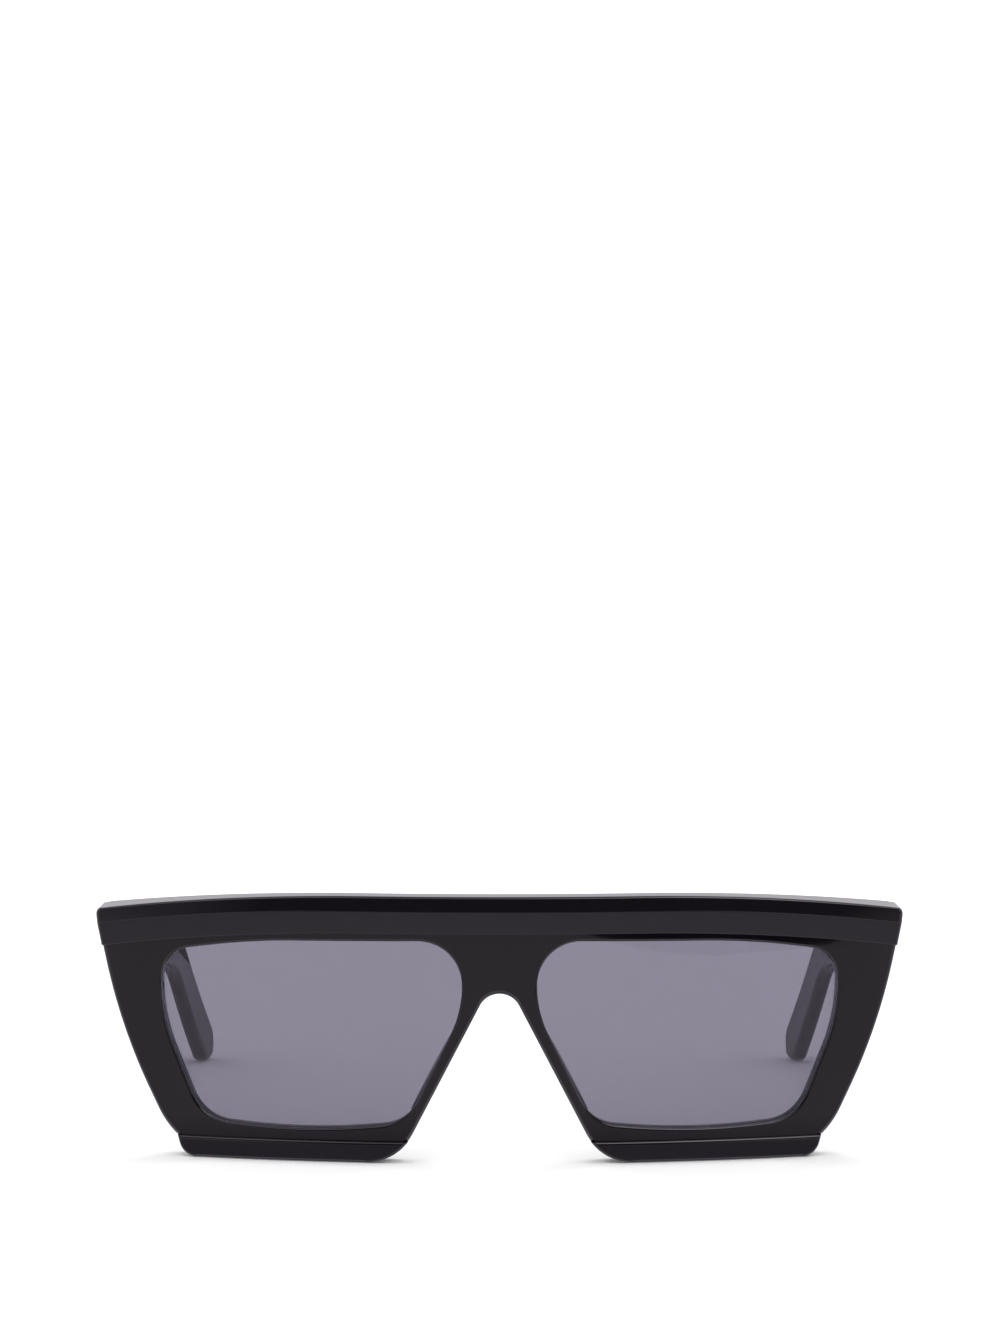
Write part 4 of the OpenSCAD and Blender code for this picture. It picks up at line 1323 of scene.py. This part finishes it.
def add_camera(scene):
    """The camera of the photograph: a long lens, a metre in front and a little above."""
    camera = bpy.data.cameras.new("camera")
    camera.sensor_width = CAMERA_SENSOR
    camera.sensor_fit = "HORIZONTAL"
    camera.lens = CAMERA_LENS
    camera.shift_x = CAMERA_SHIFT
    camera.clip_start, camera.clip_end = 0.05, 20
    eye = bpy.data.objects.new("camera", camera)
    eye.location = (0, -CAMERA_AWAY - MID_Y, CAMERA_UP)
    eye.rotation_euler = (math.radians(90) - CAMERA_DOWN, 0, 0)
    scene.collection.objects.link(eye)
    scene.camera = eye
    scene.view_settings.view_transform = "Standard"
    scene.view_settings.look = "None"


# Operators

class FLATTOP_OT_front(bpy.types.Operator):
    """Make the rim plate with its eye openings, and the faceted brow bar"""
    bl_idname = "flattop.front"
    bl_label = "Rim and brow"

    def execute(self, context):
        f = context.scene.flat_top_front
        piece("front_rim", frame_mesh(f), "front", "front_frame", "black_acetate", "acetate")
        piece("front_brow", brow_mesh(f), "front", "brow_bar", "black_acetate", "acetate")
        return {"FINISHED"}


class FLATTOP_OT_ledges(bpy.types.Operator):
    """Make the proud ledge under each eye"""
    bl_idname = "flattop.ledges"
    bl_label = "Ledges"

    def execute(self, context):
        for side in SIDES:
            ledge = on_side(side, ledge_mesh(context.scene.flat_top_front))
            piece(f"front_ledge_{side}", ledge, "front", f"ledge_{side}", "black_acetate", "acetate")
        return {"FINISHED"}


class FLATTOP_OT_lenses(bpy.types.Operator):
    """Make the two smoked lenses"""
    bl_idname = "flattop.lenses"
    bl_label = "Lenses"

    def execute(self, context):
        for side in SIDES:
            bm = on_side(side, lens_mesh(context.scene.flat_top_front))
            # Its walls take the ground edge, painted dark as the shade of the groove
            lens = piece(f"smoked_lens_{side}", bm, "front", f"lens_{side}", "smoke_lens", "lens",
                         "ground edge in painted shade")
            # A clear resin lens casts hardly any shadow on the table
            lens.visible_shadow = False
        return {"FINISHED"}


class FLATTOP_OT_bonded(bpy.types.Operator):
    """Make what is bonded behind the front: the nose pads, and the corner blocks that carry the hinges"""
    bl_idname = "flattop.bonded"
    bl_label = "Nose pads and corner blocks"

    def execute(self, context):
        f = context.scene.flat_top_front
        for side in SIDES:
            for name, node in (("bonded_pad", "nose_pad"), ("corner_block", "end_block")):
                bm = softened(f"{node}_{side}", f.back_edge, on_front(f))
                piece(f"{name}_{side}", bm, "front", f"{node}_{side}", "black_acetate", "acetate")
        return {"FINISHED"}


class FLATTOP_OT_arms(bpy.types.Operator):
    """Make the two arms, with the pocket that each hinge leaf sinks into"""
    bl_idname = "flattop.arms"
    bl_label = "Arms"

    def execute(self, context):
        f, a, h = context.scene.flat_top_front, context.scene.flat_top_arms, context.scene.flat_top_hinges
        for side in SIDES:
            arm = on_side(side, cut(arm_mesh(f, a), pocket_mesh(f, a, h)))
            piece(f"arm_shell_{side}", arm, f"{side}_arm", f"arm_{side}", "black_acetate", "acetate")
        return {"FINISHED"}


class FLATTOP_OT_cores(bpy.types.Operator):
    """Make the metal core wire inside each arm"""
    bl_idname = "flattop.cores"
    bl_label = "Core wires"

    def execute(self, context):
        f, a, h = context.scene.flat_top_front, context.scene.flat_top_arms, context.scene.flat_top_hinges
        start, end = h.leaf_l + a.core_gap, arm_lengths(f, a)[1] - a.core_short
        steps = 60
        path = [arm_point(f, a, start + (end - start) * i / steps, 0.0, 0.0) for i in range(steps + 1)]
        tree = core_tree()
        values = {"Diameter": a.core_d, "Step": LONGEST_STEP, "Material": finish("hinge")}
        for side in SIDES:
            wire = on_side(side, by_tree(line_mesh(path), tree, values))
            piece(f"core_wire_{side}", wire, f"{side}_arm", f"core_{side}", "core_steel", "hinge")
        return {"FINISHED"}


class FLATTOP_OT_hinges(bpy.types.Operator):
    """Make the hinge leaves with their knuckles"""
    bl_idname = "flattop.hinges"
    bl_label = "Hinge leaves"

    def execute(self, context):
        h = context.scene.flat_top_hinges
        for side in SIDES:
            for node, body in ((f"hinge_front_{side}", "front"), (f"hinge_arm_{side}", f"{side}_arm")):
                piece(f"{node}_leaf", softened(node, h.edge), body, node, "hinge_steel", "hinge")
        return {"FINISHED"}


class FLATTOP_OT_screws(bpy.types.Operator):
    """Make the two slotted hinge screws"""
    bl_idname = "flattop.screws"
    bl_label = "Hinge screws"

    def execute(self, context):
        f, a, h = context.scene.flat_top_front, context.scene.flat_top_arms, context.scene.flat_top_hinges
        _, inner, butt = arm_start(f, a)
        long = h.knuckles * h.knuckle_h + (h.knuckles - 1) * h.knuckle_gap
        x = inner - h.knuckle_d / 2 - h.knuckle_side
        feet = [Vector((way * x, butt - MID_Y, arm_lengths(f, a)[2] - long / 2)) for way in (-1, 1)]
        screws = by_tree(line_mesh(feet, joined=False), screw_tree(), {
            "Shank": h.screw_d, "Shank length": long, "Head": h.head_d, "Head height": h.head_h,
            "Head edge": h.head_edge, "Slot": h.slot_w, "Material": finish("screw")})
        piece("hinge_screws", screws, "front", "hinge_screw_left hinge_screw_right", "screw_steel", "screw")
        return {"FINISHED"}


class FLATTOP_OT_stage(bpy.types.Operator):
    """Set up the white table, the light and the camera"""
    bl_idname = "flattop.stage"
    bl_label = "Stage"

    def execute(self, context):
        add_table(context.scene.flat_top_finishes)
        add_world(context.scene)
        add_lamp(context.scene)
        add_camera(context.scene)
        return {"FINISHED"}


class FLATTOP_PT_panel(bpy.types.Panel):
    """The steps that make the sunglasses, in their order"""
    bl_idname = "FLATTOP_PT_panel"
    bl_label = "Flat-top sunglasses"
    bl_space_type = "VIEW_3D"
    bl_region_type = "UI"
    bl_category = "Sunglasses"

    def draw(self, context):
        for step in STEPS:
            self.layout.operator(step.bl_idname)


SIDES = ("left", "right")
GROUPS = {"flat_top_front": FrontSizes, "flat_top_arms": ArmSizes, "flat_top_hinges": HingeSizes,
          "flat_top_finishes": Finishes}
STEPS = (FLATTOP_OT_front, FLATTOP_OT_ledges, FLATTOP_OT_lenses, FLATTOP_OT_bonded, FLATTOP_OT_arms,
         FLATTOP_OT_cores, FLATTOP_OT_hinges, FLATTOP_OT_screws, FLATTOP_OT_stage)


def register():
    """Makes the sizes, the steps and the panel known to Blender."""
    for kind in (*GROUPS.values(), *STEPS, FLATTOP_PT_panel):
        bpy.utils.register_class(kind)
    for name, kind in GROUPS.items():
        setattr(bpy.types.Scene, name, bpy.props.PointerProperty(type=kind))


def unregister():
    """Takes them away again."""
    for name in GROUPS:
        delattr(bpy.types.Scene, name)
    for kind in reversed((*GROUPS.values(), *STEPS, FLATTOP_PT_panel)):
        bpy.utils.unregister_class(kind)


def main():
    """Makes the sunglasses step by step."""
    register()
    bpy.ops.flattop.front()
    bpy.ops.flattop.ledges()
    bpy.ops.flattop.lenses()
    bpy.ops.flattop.bonded()
    bpy.ops.flattop.arms()
    bpy.ops.flattop.cores()
    bpy.ops.flattop.hinges()
    bpy.ops.flattop.screws()
    bpy.ops.flattop.stage()


if __name__ == "__main__":
    main()
